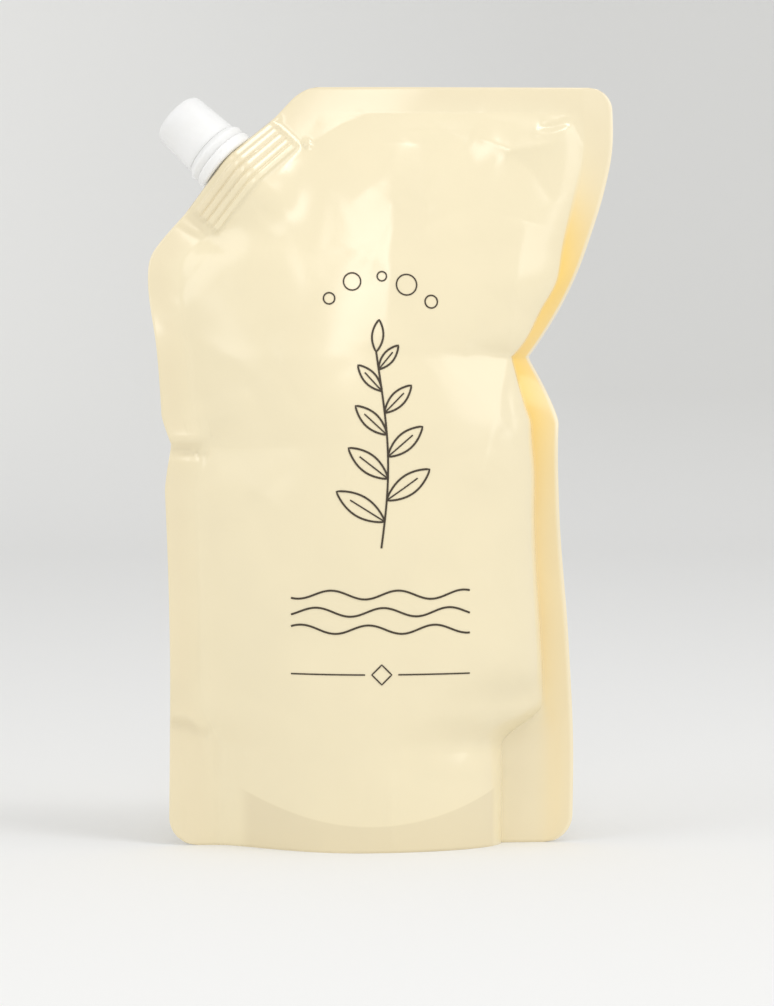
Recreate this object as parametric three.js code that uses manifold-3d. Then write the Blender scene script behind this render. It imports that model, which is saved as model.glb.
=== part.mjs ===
// Hand soap refill pack: a filled stand-up film pouch with a moulded spout welded into its cut corner,
// a screw cap and the cap's tamper band.
// Millimetres, +Z up. The pouch stands on z = 0, its front panel faces -Y, and the spout is at the
// upper corner on the -X side.

import * as THREE from 'three';
import { mergeGeometries, mergeVertices } from 'three/addons/utils/BufferGeometryUtils.js';
import Module from 'manifold-3d';

const wasm = await Module();
wasm.setup();

// Pouch outline
const PACK_HEIGHT = 232;
const FLAT_WIDTH = 144;
const CORNER_RADIUS = 7;
const CUT_ACROSS = 49;
const CUT_DOWN = 52;
const CUT_TOP_RADIUS = 4;
const CUT_SIDE_SOFTNESS = 4;

// Welded seams: widths, and the thickness of the two films together
const SIDE_SEAL = 9;
const TOP_SEAL = 8;
const SEAM_THICKNESS = 0.6;
const LEFT_EAR_WIDTH = 14;
const RIGHT_EAR_WIDTH = 22;
const EAR_TAPER = 13;
const SKIRT_HEIGHT = 8;
const SKIRT_RISE = 9.5;
const SKIRT_THICKNESS = 0.9;
const GUSSET_HEIGHT = 43;

// Shares of the base's width: where the skirt's weld turns up, and the belly that lies flat on the ground
const SKIRT_TURN = 0.86;
const BELLY_ACROSS = 0.35;
const BELLY_ALONG = 0.5;

// Filling: how far each panel stands out from the plane of the side seams
const FRONT_BULGE = 24.5;
const BACK_BULGE = 22.5;

// Slack film at the top leans back from this height, and the spout corner is bent back further
const LEAN_FROM = 110;
const TOP_LEAN = 11.5;
const CORNER_FOLD = 30;
const CORNER_FOLD_SLOPE = 0.2;
const TENT_SPREAD = 0.5;

// The right seam is kinked and bent back, the left seam has a shallow dent
const RIGHT_KINK = { height: 149, pull: 11.3, above: 42, below: 20, sharpAbove: 1.9, sharpBelow: 1.25 };
const LEFT_KINK = { height: 122.5, pull: 2.6, above: 9, below: 14, sharpAbove: 1.25, sharpBelow: 1.25 };
const RIGHT_BEND = 7.6;
const RIGHT_BEND_FROM = 118;
const RIGHT_BEND_TO = 196;

// Spout: its place from the middle of the cut edge, and its sizes along its own axis from that edge
const CANOE_LENGTH = 34;
const CANOE_THICKNESS = 14;
const CANOE_DEPTH = 9;
const CANOE_ALONG = 2.5;
const RIB_COUNT = 4;
const RIB_PITCH = 2.1;
const RIB_THICKNESS = 0.9;
const RIB_PROUD = 0.4;
const SLEEVE_FILM = 0.7;
const COLLAR_DIAMETER = 21;
const COLLAR_HEIGHT = 3;
const COLLAR_LIFT = 0.6;
const BORE_DIAMETER = 10.6;
const NECK_DIAMETER = 13.4;
const MOUTH_GAP = 0.9;
const MOUTH_CHAMFER = 0.6;
const COLLAR_CHAMFER = 0.5;
const BEAD_PROUD = 0.75;
const BEAD_HEIGHT = 1.1;
const BEAD_DROP = 1.25;
const SHOULDER = 0.6;

// Screw thread of the neck and the cap
const THREAD_LEAD = 3;
const THREAD_TURNS = 1.5;
const THREAD_PROUD = 0.65;
const THREAD_BASE = 1.2;
const THREAD_CREST = 0.6;
const THREAD_BURY = 0.4;
const THREAD_BELOW_MOUTH = 2.2;
const THREAD_STEPS = 24;

// Tamper band and cap
const BAND_HEIGHT = 3.6;
const BAND_FLARE = 20.7;
const BAND_UNDERCUT = 0.7;
const BAND_BEVEL = 1.4;
const BAND_RIM = 0.6;
const CAP_HEIGHT = 15.9;
const CAP_BASE_DIAMETER = 18.6;
const CAP_TOP_DIAMETER = 17.3;
const CAP_TOP_THICKNESS = 1.2;
const CAP_EDGE_RADIUS = 2.6;
const CAP_CROWN = 0.4;
const CAP_SKIRT = 0.8;
const CAP_INNER_CHAMFER = 0.8;

// Clear space between pieces that touch, and around the thread
const CLEARANCE = 0.3;
const THREAD_CLEARANCE = 0.4;

// Mesh fineness
const PANEL_STEPS = 22;
const SEAL_STEPS = 2;
const ROUND_STEPS = 32;

const { lerp, smoothstep } = THREE.MathUtils;
const halfWidth = FLAT_WIDTH / 2;
const fillTop = PACK_HEIGHT - TOP_SEAL;
const cutStart = PACK_HEIGHT - CUT_DOWN;
const cutAngle = Math.atan2(CUT_DOWN, CUT_ACROSS);
const spoutAt = {
  x: -halfWidth + CUT_ACROSS / 2 + CANOE_ALONG * Math.cos(cutAngle),
  z: PACK_HEIGHT - CUT_DOWN / 2 + CANOE_ALONG * Math.sin(cutAngle),
};

// Solids

// A closed solid from geometry whose borders coincide.
function solidFrom(...pieces) {
  const bare = pieces.map((piece) => {
    const copy = piece.clone();
    copy.deleteAttribute('normal');
    copy.deleteAttribute('uv');
    return copy;
  });
  const welded = mergeVertices(mergeGeometries(bare));
  const corners = welded.index.array;
  const triangles = [];
  for (let i = 0; i < corners.length; i += 3) {
    const [a, b, c] = corners.slice(i, i + 3);
    if (a !== b && b !== c && c !== a) triangles.push(a, b, c);
  }
  return new wasm.Manifold(new wasm.Mesh({
    numProp: 3,
    vertProperties: new Float32Array(welded.attributes.position.array),
    triVerts: new Uint32Array(triangles),
  }));
}

function namedMesh(name, solid, material) {
  const { vertProperties, triVerts } = solid.getMesh();
  const geometry = new THREE.BufferGeometry();
  geometry.setAttribute('position', new THREE.BufferAttribute(vertProperties, 3));
  geometry.setIndex(new THREE.BufferAttribute(triVerts, 1));
  geometry.computeVertexNormals();
  const mesh = new THREE.Mesh(geometry, material);
  mesh.name = name;
  return mesh;
}

// An open sheet through pointAt(row, column), facing the way that column cross row points.
function sheet(rows, columns, pointAt, facesAway = false) {
  const positions = [];
  const triangles = [];
  rows.forEach((row, r) => columns.forEach((column, c) => {
    positions.push(...pointAt(row, column).toArray());
    if (r === 0 || c === 0) return;
    const here = r * columns.length + c;
    const below = here - columns.length;
    const quad = [below - 1, below, here, below - 1, here, here - 1];
    triangles.push(...(facesAway ? quad.reverse() : quad));
  }));
  const geometry = new THREE.BufferGeometry();
  geometry.setAttribute('position', new THREE.Float32BufferAttribute(positions, 3));
  geometry.setIndex(triangles);
  return geometry;
}

// A turned shape about +Z from [radius, height] points.
function turned(profile) {
  const points = profile.map(([radius, height]) => new THREE.Vector2(radius, height));
  return new THREE.LatheGeometry(points, ROUND_STEPS).rotateX(Math.PI / 2);
}

// Even steps from a start up to, but not including, an end. ease bends their spacing.
function steps(from, to, count, ease = (t) => t) {
  return Array.from({ length: count }, (_, i) => lerp(from, to, ease(i / count)));
}

// A smooth curve through [position, value] stations.
function through(stations) {
  const curve = new THREE.CubicInterpolant(stations.map((s) => s[0]), stations.map((s) => s[1]), 1, [0]);
  return (t) => curve.evaluate(t)[0];
}

// Outline of the standing pouch, seen from the front

// How far the filling has drawn each side edge in, by share of the height.
const leftInset = through([[0, 7], [0.27, 7.3], [0.47, 5.9], [0.65, 3.5], [0.74, 0.6], [1, 0]]);
const rightInset = through([
  [0, 13], [0.14, 12.9], [0.28, 14.5], [0.45, 17.3], [0.56, 17.2], [0.785, 8.1], [0.865, 2.6], [0.915, 0.2], [1, 0],
]);

function kinkPull({ height, pull, above, below, sharpAbove, sharpBelow }, z) {
  const away = Math.min(Math.abs(z - height) / (z > height ? above : below), 1);
  return pull * (1 - away) ** (z > height ? sharpAbove : sharpBelow);
}

// How far a round corner draws an edge in, at a distance from the edge that it meets.
function roundCorner(distance, radius) {
  return radius - Math.sqrt(radius ** 2 - Math.max(radius - distance, 0) ** 2);
}

function softMax(a, b, softness) {
  return (a + b + Math.hypot(a - b, softness)) / 2;
}

function leftLine(z) {
  const side = -halfWidth + leftInset(z / PACK_HEIGHT) + kinkPull(LEFT_KINK, z);
  const cut = -halfWidth + CUT_ACROSS * (z - cutStart) / CUT_DOWN;
  return softMax(side, cut, CUT_SIDE_SOFTNESS);
}

function rightLine(z) {
  return halfWidth - rightInset(z / PACK_HEIGHT) - kinkPull(RIGHT_KINK, z);
}

function leftTip(z) {
  return leftLine(z) + roundCorner(z, CORNER_RADIUS) + roundCorner(PACK_HEIGHT - z, CUT_TOP_RADIUS);
}

function rightTip(z) {
  return rightLine(z) - roundCorner(z, CORNER_RADIUS) - roundCorner(PACK_HEIGHT - z, CORNER_RADIUS);
}

// The flat weld along a side: wide at the ears beside the gusset, narrow above it.
function sealWidth(z, earWidth) {
  return lerp(earWidth, SIDE_SEAL, smoothstep(z, GUSSET_HEIGHT - EAR_TAPER, GUSSET_HEIGHT));
}

function rightBend(z) {
  const middle = (RIGHT_BEND_FROM + RIGHT_BEND_TO) / 2;
  return RIGHT_BEND * smoothstep(z, RIGHT_BEND_FROM, middle) * (1 - smoothstep(z, middle, RIGHT_BEND_TO));
}

function leftRoot(z) {
  const onCut = smoothstep(z, cutStart - CUT_SIDE_SOFTNESS, cutStart + 2 * CUT_SIDE_SOFTNESS);
  return leftLine(z) + lerp(sealWidth(z, LEFT_EAR_WIDTH), SIDE_SEAL / Math.sin(cutAngle), onCut);
}

function rightRoot(z) {
  return rightLine(z) - Math.sqrt(sealWidth(z, RIGHT_EAR_WIDTH) ** 2 - rightBend(z) ** 2);
}

// Distances along the cut edge from the spout, and inward from the edge.
function fromCut(x, z) {
  const across = x - spoutAt.x;
  const up = z - spoutAt.z;
  return {
    along: across * Math.cos(cutAngle) + up * Math.sin(cutAngle),
    inward: across * Math.sin(cutAngle) - up * Math.cos(cutAngle),
  };
}

// The plane of the seams, as a depth Y over the front view
function seamPlane(x, z) {
  const leaning = Math.max(z - LEAN_FROM, 0) / (PACK_HEIGHT - LEAN_FROM);
  const folded = Math.max(CORNER_FOLD - fromCut(x, z).inward, 0);
  return TOP_LEAN * leaning ** 2 + CORNER_FOLD_SLOPE * folded ** 2 / (2 * CORNER_FOLD);
}

function seamNormal(x, z) {
  const reach = 0.5;
  const slopeX = (seamPlane(x + reach, z) - seamPlane(x - reach, z)) / (2 * reach);
  const slopeZ = (seamPlane(x, z + reach) - seamPlane(x, z - reach)) / (2 * reach);
  return new THREE.Vector3(slopeX, -1, slopeZ).normalize();
}

// Boat shape of the spout's base: a circle drawn out to a point at each end

const canoe = { half: CANOE_THICKNESS / 2, length: CANOE_LENGTH / 2 };
const canoeTaper = Math.asin(canoe.half / canoe.length);

function grownCanoe(offset) {
  return { half: canoe.half + offset, length: canoe.length + offset / Math.sin(canoeTaper) };
}

const pocket = grownCanoe(RIB_PROUD + CLEARANCE);
const sleeve = grownCanoe(RIB_PROUD + CLEARANCE + SLEEVE_FILM);
const sleeveRib = grownCanoe(2 * RIB_PROUD + CLEARANCE + SLEEVE_FILM);

function canoeHalf(along, { half, length }) {
  const away = Math.abs(along);
  const taper = Math.asin(half / length);
  if (away < half * Math.sin(taper)) return Math.sqrt(half ** 2 - away ** 2);
  return Math.max(length - away, 0) * Math.tan(taper);
}

function canoeSolid({ half, length }, from, to) {
  const taper = Math.asin(half / length);
  const outline = new THREE.Shape();
  outline.moveTo(length, 0);
  outline.lineTo(half * Math.sin(taper), half * Math.cos(taper));
  outline.absarc(0, 0, half, Math.PI / 2 - taper, Math.PI / 2 + taper);
  outline.lineTo(-length, 0);
  outline.absarc(0, 0, half, 1.5 * Math.PI - taper, 1.5 * Math.PI + taper);
  outline.closePath();
  const depth = to - from;
  const block = new THREE.ExtrudeGeometry(outline, { depth, bevelEnabled: false, curveSegments: 6 });
  return solidFrom(block.translate(0, 0, from));
}

// Ribs across the weld, from the film's edge inward.
function ribLevels() {
  const first = -(CANOE_DEPTH - (RIB_COUNT - 1) * RIB_PITCH) / 2;
  return Array.from({ length: RIB_COUNT }, (_, i) => first - i * RIB_PITCH);
}

function withRibs(solid, shape) {
  return ribLevels().reduce((sum, level) => sum.add(
    canoeSolid(shape, level - RIB_THICKNESS / 2, level + RIB_THICKNESS / 2)), solid);
}

// Place and turn of the spout on the cut edge
function spoutFrame() {
  const middle = CANOE_DEPTH / 2;
  const at = { x: spoutAt.x + middle * Math.sin(cutAngle), z: spoutAt.z - middle * Math.cos(cutAngle) };
  const front = seamNormal(at.x, at.z);
  const alongEdge = new THREE.Vector3(Math.cos(cutAngle), 0, Math.sin(cutAngle));
  const axis = new THREE.Vector3().crossVectors(alongEdge, front.clone().negate()).normalize();
  const along = new THREE.Vector3().crossVectors(front.clone().negate(), axis);
  const origin = new THREE.Vector3(spoutAt.x, seamPlane(spoutAt.x, spoutAt.z), spoutAt.z);
  const turn = new THREE.Matrix4().makeBasis(along, front.clone().negate(), axis);
  return turn.setPosition(origin);
}

// Panels

const fullness = through([
  [0, 0.96], [0.09, 1], [0.2, 1], [0.4, 0.93], [0.58, 0.77], [0.735, 0.56], [0.87, 0.33], [0.96, 0.12], [1, 0],
]);

// How gently each flank rises from its seal, by share of the filled height: round at 0.5, soft above it.
const leftBluntness = through([
  [0, 1.3], [0.12, 1.25], [0.25, 1], [0.5, 0.92], [0.7, 0.9], [0.85, 0.9], [1, 0.95],
]);
const rightBluntness = through([[0, 0.55], [0.3, 0.52], [0.6, 0.6], [0.85, 0.8], [1, 0.95]]);

function flankArch(angle, z) {
  const bluntness = angle < Math.PI / 2 ? leftBluntness : rightBluntness;
  return Math.max(Math.sin(angle), 0) ** (2 * bluntness(z / fillTop));
}

// The film drawn from the spout's sleeve down to the bulging panel.
function spoutTent(x, z) {
  const { along, inward } = fromCut(x, z);
  const slack = smoothstep(inward, CANOE_DEPTH, CANOE_DEPTH + CORNER_FOLD);
  const spread = { half: sleeve.half, length: sleeve.length * (1 + TENT_SPREAD * slack) };
  return canoeHalf(along, spread) * (1 - slack);
}

// Creases and hollows in a panel: centre, reach across and up, and how much of the bulge they take.
const FRONT_HOLLOWS = [
  { x: 44, z: 149, across: 17, up: 13, take: 0.3 },
  { x: -58, z: 121, across: 16, up: 11, take: 0.2 },
  { x: 48, z: 44, across: 16, up: 7, take: 0.22 },
  { x: -55, z: 43, across: 14, up: 7, take: 0.22 },
];
const BACK_HOLLOWS = [
  { x: 43, z: 150, across: 20, up: 16, take: 0.32 },
  { x: -55, z: 124, across: 18, up: 12, take: 0.2 },
  { x: 48, z: 43, across: 16, up: 7, take: 0.2 },
  { x: -55, z: 44, across: 15, up: 7, take: 0.2 },
];

function hollowed(hollows, x, z) {
  return hollows.reduce((left, { x: cx, z: cz, across, up, take }) => (
    left * (1 - take * Math.exp(-(((x - cx) / across) ** 2) - ((z - cz) / up) ** 2))), 1);
}

const PANELS = {
  front: { side: 1, bulge: FRONT_BULGE, hollows: FRONT_HOLLOWS },
  back: { side: -1, bulge: BACK_BULGE, hollows: BACK_HOLLOWS },
};

// Columns of a panel, from the left tip across the left seal, the bulge and the right seal. Each gives
// its place across the front view, its share of the bulge and its share of the right seal's bend.
const leftSealColumns = steps(0, 1, SEAL_STEPS).map((share) => (z) => (
  { x: lerp(leftTip(z), leftRoot(z), share), arch: 0, bend: 0 }));
const rightSealColumns = steps(1, 0, SEAL_STEPS).reverse().map((share) => (z) => (
  { x: lerp(rightRoot(z), rightTip(z), share), arch: 0, bend: share }));
const bulgeColumns = [...steps(0, Math.PI, PANEL_STEPS), Math.PI].map((angle) => (z) => ({
  x: lerp(leftRoot(z), rightRoot(z), (1 - Math.cos(angle)) / 2),
  arch: flankArch(angle, z),
  bend: 0,
}));
bulgeColumns[0] = (z) => ({ x: leftRoot(z), arch: 0, bend: 0 });
bulgeColumns[PANEL_STEPS] = (z) => ({ x: rightRoot(z), arch: 0, bend: 0 });
const columns = [...leftSealColumns, ...bulgeColumns, ...rightSealColumns];

function seamPoint(z, column) {
  const { x, bend } = column(z);
  return new THREE.Vector3(x, seamPlane(x, z) + rightBend(z) * bend, z);
}

function bulgeAt(z, column, { bulge, hollows }) {
  const { x, arch } = column(z);
  return bulge * Math.max(fullness(z / fillTop), 0) * arch * hollowed(hollows, x, z);
}

function panelPoint(z, column, panel) {
  const { x } = column(z);
  const stand = Math.hypot(bulgeAt(z, column, panel), spoutTent(x, z)) + SEAM_THICKNESS / 2;
  return seamPoint(z, column).addScaledVector(seamNormal(x, z), panel.side * stand);
}

// Bottom: the skirts under the weld, and the gusset between them

function shareAcross(column) {
  const { x } = column(0);
  return (2 * x - leftRoot(0) - rightRoot(0)) / (rightRoot(0) - leftRoot(0));
}

function skirtTop(column) {
  const away = Math.abs(shareAcross(column));
  const toGusset = GUSSET_HEIGHT - EAR_TAPER - SKIRT_HEIGHT - SKIRT_RISE;
  return SKIRT_HEIGHT + SKIRT_RISE * away ** 2 + toGusset * smoothstep(away, SKIRT_TURN, 1);
}

function skirtInside(z, column, panel) {
  const inside = bulgeAt(z, column, panel) * (1 - SKIRT_THICKNESS / panel.bulge);
  return seamPoint(z, column).addScaledVector(seamNormal(column(z).x, z), panel.side * inside);
}

// across runs from -1 at the front skirt to 1 at the back one. The middle sags flat onto the ground.
function gussetPoint(across, column) {
  const top = skirtTop(column);
  const belly = top * smoothstep(Math.abs(shareAcross(column)), BELLY_ALONG, 1) ** 1.5;
  const rise = Math.max(Math.abs(across) - BELLY_ACROSS, 0) / (1 - BELLY_ACROSS);
  const front = skirtInside(top, column, PANELS.front);
  const point = front.lerp(skirtInside(top, column, PANELS.back), (across + 1) / 2);
  return point.setZ(lerp(belly, top, rise ** 2));
}

function pouchRows() {
  const fine = (t) => t ** 2;
  const fineAtEnd = (t) => 1 - (1 - t) ** 2;
  return [
    ...steps(0, CORNER_RADIUS, 4, fine),
    ...steps(CORNER_RADIUS, GUSSET_HEIGHT, 7),
    ...steps(GUSSET_HEIGHT, RIGHT_KINK.height, 13),
    ...steps(RIGHT_KINK.height, cutStart, 6),
    ...steps(cutStart, fillTop, 14),
    ...steps(fillTop, PACK_HEIGHT, 4, fineAtEnd),
    PACK_HEIGHT,
  ];
}

function pouchSolid() {
  const rows = pouchRows();
  const { front, back } = PANELS;
  const edge = ['front', 'seam', 'back'];
  const edgePoint = (z, column, layer) => (
    layer === 'seam' ? seamPoint(z, column) : panelPoint(z, column, PANELS[layer]));
  const rim = (panel) => (inside, column) => (
    inside ? skirtInside(0, column, panel) : panelPoint(0, column, panel));
  const skirt = (panel) => (share, column) => skirtInside(share * skirtTop(column), column, panel);
  const skirtRows = [0, 0.5, 1];
  const gussetHalf = [...steps(BELLY_ACROSS, 1, 3), 1];
  const gussetRows = [...gussetHalf.map((across) => -across).reverse(), 0, ...gussetHalf];
  const ears = [[...leftSealColumns, bulgeColumns[0]], [bulgeColumns[PANEL_STEPS], ...rightSealColumns]];
  const body = solidFrom(
    sheet(rows, columns, (z, column) => panelPoint(z, column, front)),
    sheet(rows, columns, (z, column) => panelPoint(z, column, back), true),
    sheet(edge, columns, (layer, column) => edgePoint(PACK_HEIGHT, column, layer)),
    sheet(rows, edge, (z, layer) => edgePoint(z, columns[0], layer), true),
    sheet(rows, edge, (z, layer) => edgePoint(z, columns[columns.length - 1], layer)),
    ...ears.map((ear) => sheet(edge, ear, (layer, column) => edgePoint(0, column, layer), true)),
    sheet([false, true], bulgeColumns, rim(front), true),
    sheet([true, false], bulgeColumns, rim(back), true),
    sheet(skirtRows, bulgeColumns, skirt(front), true),
    sheet(skirtRows, bulgeColumns, skirt(back)),
    sheet(gussetRows, bulgeColumns, gussetPoint, true),
  );
  const toSpout = spoutFrame();
  const place = (solid) => solid.transform(toSpout.elements);
  const ribs = place(withRibs(canoeSolid(sleeve, -CANOE_DEPTH, -CLEARANCE), sleeveRib));
  const room = place(canoeSolid(pocket, -CANOE_DEPTH - CLEARANCE, COLLAR_LIFT + COLLAR_HEIGHT));
  return body.add(ribs).subtract(room);
}

// Spout, band and cap, each about the spout's axis

const collarTop = COLLAR_LIFT + COLLAR_HEIGHT;
const bandBottom = collarTop + CLEARANCE;
const bandTop = bandBottom + BAND_HEIGHT;
const capBottom = bandTop + CLEARANCE;
const capTop = capBottom + CAP_HEIGHT;
const neck = NECK_DIAMETER / 2;
const threadCrest = neck + THREAD_PROUD;
const capBore = threadCrest + THREAD_CLEARANCE;
const seat = capBore;
const mouth = capTop - CAP_CROWN - CAP_TOP_THICKNESS - MOUTH_GAP;
const threadStart = mouth - THREAD_BELOW_MOUTH - THREAD_LEAD * THREAD_TURNS;
const beadMiddle = bandTop - BEAD_DROP;
const beadBottom = beadMiddle - BEAD_HEIGHT / 2;

// A helical ridge from a buried base radius to its crest, fading out at both ends.
function threadSolid(base, crest, start) {
  const count = Math.round(THREAD_STEPS * THREAD_TURNS);
  const runs = Array.from({ length: count + 1 }, (_, i) => i);
  const section = [[0, -THREAD_BASE], [1, -THREAD_CREST], [1, THREAD_CREST], [0, THREAD_BASE]];
  const point = (i, [out, width]) => {
    const fade = Math.min(1, 0.1 + Math.min(i, count - i) / (THREAD_STEPS / 8));
    const turn = 2 * Math.PI * i / THREAD_STEPS;
    const radius = lerp(base, crest, out * fade);
    const height = start + THREAD_LEAD * i / THREAD_STEPS + width / 2;
    return new THREE.Vector3(radius * Math.cos(turn), radius * Math.sin(turn), height);
  };
  const closed = [...section, section[0]];
  const facesAway = crest > base;
  const cap = (i, away) => sheet([0, 1], [0, 1], (r, c) => point(i, section[r ? 3 - c : c]), away);
  return solidFrom(
    sheet(runs, closed, point, facesAway),
    cap(0, !facesAway),
    cap(count, facesAway),
  );
}

function spoutSolid() {
  const collar = COLLAR_DIAMETER / 2;
  const body = solidFrom(turned([
    [0, COLLAR_LIFT],
    [collar - COLLAR_CHAMFER, COLLAR_LIFT],
    [collar, COLLAR_LIFT + COLLAR_CHAMFER],
    [collar, collarTop - COLLAR_CHAMFER],
    [collar - COLLAR_CHAMFER, collarTop],
    [seat, collarTop],
    [seat, beadBottom],
    [seat + BEAD_PROUD, beadMiddle],
    [seat, beadMiddle + BEAD_HEIGHT / 2],
    [seat, bandTop],
    [neck, capBottom + SHOULDER],
    [neck, mouth - MOUTH_CHAMFER],
    [neck - MOUTH_CHAMFER, mouth],
    [0, mouth],
  ]));
  const base = withRibs(canoeSolid(canoe, -CANOE_DEPTH, COLLAR_LIFT + COLLAR_CHAMFER), grownCanoe(RIB_PROUD));
  const thread = threadSolid(neck - THREAD_BURY, threadCrest, threadStart);
  const radius = BORE_DIAMETER / 2;
  const bore = solidFrom(turned([
    [0, -2 * CANOE_DEPTH], [radius, -2 * CANOE_DEPTH], [radius, capTop], [0, capTop],
  ]));
  return body.add(base).add(thread).subtract(bore);
}

// The band grips under the neck's bead, so that it stays behind when the cap comes off.
function bandSolid() {
  const overBead = seat + BEAD_PROUD + CLEARANCE;
  const lip = seat + CLEARANCE;
  const underBead = beadBottom - CLEARANCE;
  const flare = BAND_FLARE / 2;
  return solidFrom(turned([
    [lip, bandBottom],
    [flare - BAND_UNDERCUT, bandBottom],
    [flare, bandBottom + BAND_BEVEL],
    [flare, bandBottom + BAND_BEVEL + BAND_RIM],
    [CAP_BASE_DIAMETER / 2, bandTop],
    [overBead, bandTop],
    [overBead, underBead],
    [lip, underBead - BEAD_PROUD],
    [lip, bandBottom],
  ]));
}

function capSolid() {
  const base = CAP_BASE_DIAMETER / 2;
  const top = CAP_TOP_DIAMETER / 2;
  const edgeSteps = [0, 1, 2, 3, 4].map((i) => i * Math.PI / 8);
  const shoulder = capTop - CAP_CROWN;
  const ceiling = mouth + MOUTH_GAP;
  const shell = solidFrom(turned([
    [capBore, capBottom],
    [base, capBottom],
    [base, capBottom + CAP_SKIRT],
    ...edgeSteps.map((angle) => [
      top - CAP_EDGE_RADIUS * (1 - Math.cos(angle)),
      shoulder - CAP_EDGE_RADIUS * (1 - Math.sin(angle)),
    ]),
    [0, capTop],
    [0, ceiling],
    [capBore - CAP_INNER_CHAMFER, ceiling],
    [capBore, ceiling - CAP_INNER_CHAMFER],
    [capBore, capBottom],
  ]));
  return shell.add(threadSolid(capBore + THREAD_BURY, neck + CLEARANCE, threadStart + THREAD_LEAD / 2));
}

// The pack

const film = new THREE.MeshStandardMaterial({ color: '#f2e6c6', roughness: 0.38, metalness: 0 });
const moulded = new THREE.MeshStandardMaterial({ color: '#f4f3ef', roughness: 0.42, metalness: 0 });

const closure = new THREE.Group();
closure.applyMatrix4(spoutFrame());
closure.add(namedMesh('spout', spoutSolid(), moulded));
closure.add(namedMesh('tamper_band', bandSolid(), moulded));
closure.add(namedMesh('cap', capSolid(), moulded));

const pack = new THREE.Group();
pack.add(namedMesh('pouch', pouchSolid(), film));
pack.add(closure);

export default pack;
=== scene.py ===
"""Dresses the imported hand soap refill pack: its film pouch, spout, band and cap, in a plain pale studio."""

from math import asin, atan2, cos, pi, radians, sin

import bpy
import numpy as np
from mathutils import Matrix, Vector


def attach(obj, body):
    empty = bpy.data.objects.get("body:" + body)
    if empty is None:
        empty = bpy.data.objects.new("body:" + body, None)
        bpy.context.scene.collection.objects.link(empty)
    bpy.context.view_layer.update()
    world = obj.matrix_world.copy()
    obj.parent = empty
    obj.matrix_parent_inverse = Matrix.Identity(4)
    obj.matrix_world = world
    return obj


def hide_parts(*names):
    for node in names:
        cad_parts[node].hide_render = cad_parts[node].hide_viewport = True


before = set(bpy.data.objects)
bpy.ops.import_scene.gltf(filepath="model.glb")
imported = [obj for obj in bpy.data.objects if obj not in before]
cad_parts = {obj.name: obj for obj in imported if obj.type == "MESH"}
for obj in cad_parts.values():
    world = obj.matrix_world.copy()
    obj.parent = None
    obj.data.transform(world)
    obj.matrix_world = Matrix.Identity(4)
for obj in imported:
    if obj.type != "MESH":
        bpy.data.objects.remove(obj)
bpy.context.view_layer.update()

# Metres in a millimetre. Every size below is in millimetres, as in the part's source.
MM = 0.001

# Outline of the flat pouch
PACK_HEIGHT = 232
FLAT_WIDTH = 144
CORNER_RADIUS = 7
FOOT_RADIUS = 8.5
CUT_ACROSS = 49
CUT_DOWN = 52
CUT_TOP_RADIUS = 4
CUT_SIDE_SOFTNESS = 4
LEFT_INSET = [(0, 7), (0.27, 7.3), (0.47, 5.9), (0.65, 3.5), (0.74, 0.6), (1, 0)]
RIGHT_INSET = [
    (0, 13), (0.14, 12.9), (0.28, 14.5), (0.45, 17.3), (0.56, 17.2),
    (0.785, 8.1), (0.865, 2.6), (0.915, 0.2), (1, 0),
]
RIGHT_KINK = {"height": 149, "pull": 11.3, "above": 42, "below": 20, "sharp_above": 2.3, "sharp_below": 1.25}
LEFT_KINK = {"height": 122.5, "pull": 2.6, "above": 9, "below": 14, "sharp_above": 1.25, "sharp_below": 1.25}

# Welded seams and the plane that they lie in
SIDE_SEAL = 9
TOP_SEAL = 8
SEAM_THICKNESS = 0.6
LEFT_EAR_WIDTH = 14
RIGHT_EAR_WIDTH = 22
EAR_TAPER = 13
RIGHT_SEAL_SHARE = [
    (43, 1), (52, 0.95), (66, 0.95), (81, 0.93), (99, 0.87), (115, 0.81), (124, 0.9), (133, 1.02),
    (150, 1), (163, 1.06), (173, 0.84), (182, 0.88), (198, 1),
]
RIGHT_BEND = 7.6
RIGHT_BEND_FROM = 118
RIGHT_BEND_TO = 196
LEAN_FROM = 110
TOP_LEAN = 11.5
CORNER_FOLD = 30
CORNER_FOLD_SLOPE = 0.2

# Filled panels
FRONT_BULGE = 24.5
BACK_BULGE = 22.5
FULLNESS = [
    (0, 0.96), (0.09, 1), (0.2, 1), (0.4, 0.93),
    (0.58, 0.77), (0.735, 0.56), (0.87, 0.33), (0.96, 0.12), (1, 0),
]
LEFT_BLUNTNESS = [(0, 1.3), (0.12, 1.25), (0.25, 1), (0.5, 0.92), (0.7, 0.9), (0.85, 0.9), (1, 0.95)]
RIGHT_BLUNTNESS = [
    (0, 0.55), (0.1, 0.62), (0.17, 0.95), (0.24, 0.6), (0.35, 0.52), (0.6, 0.6), (0.85, 0.8), (1, 0.95),
]
LEFT_ROOT_SOFTNESS = 0.04
TENT_SPREAD = 0.5

# Bottom
SKIRT_HEIGHT = 8
SKIRT_RISE = 9.5
SKIRT_THICKNESS = 0.9
SKIRT_GAP = 0.02
SKIRT_TURN = 0.86
GUSSET_HEIGHT = 43
BELLY_ACROSS = 0.35
BELLY_ALONG = 0.5
BELLY_CURVE = 1.5

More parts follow.
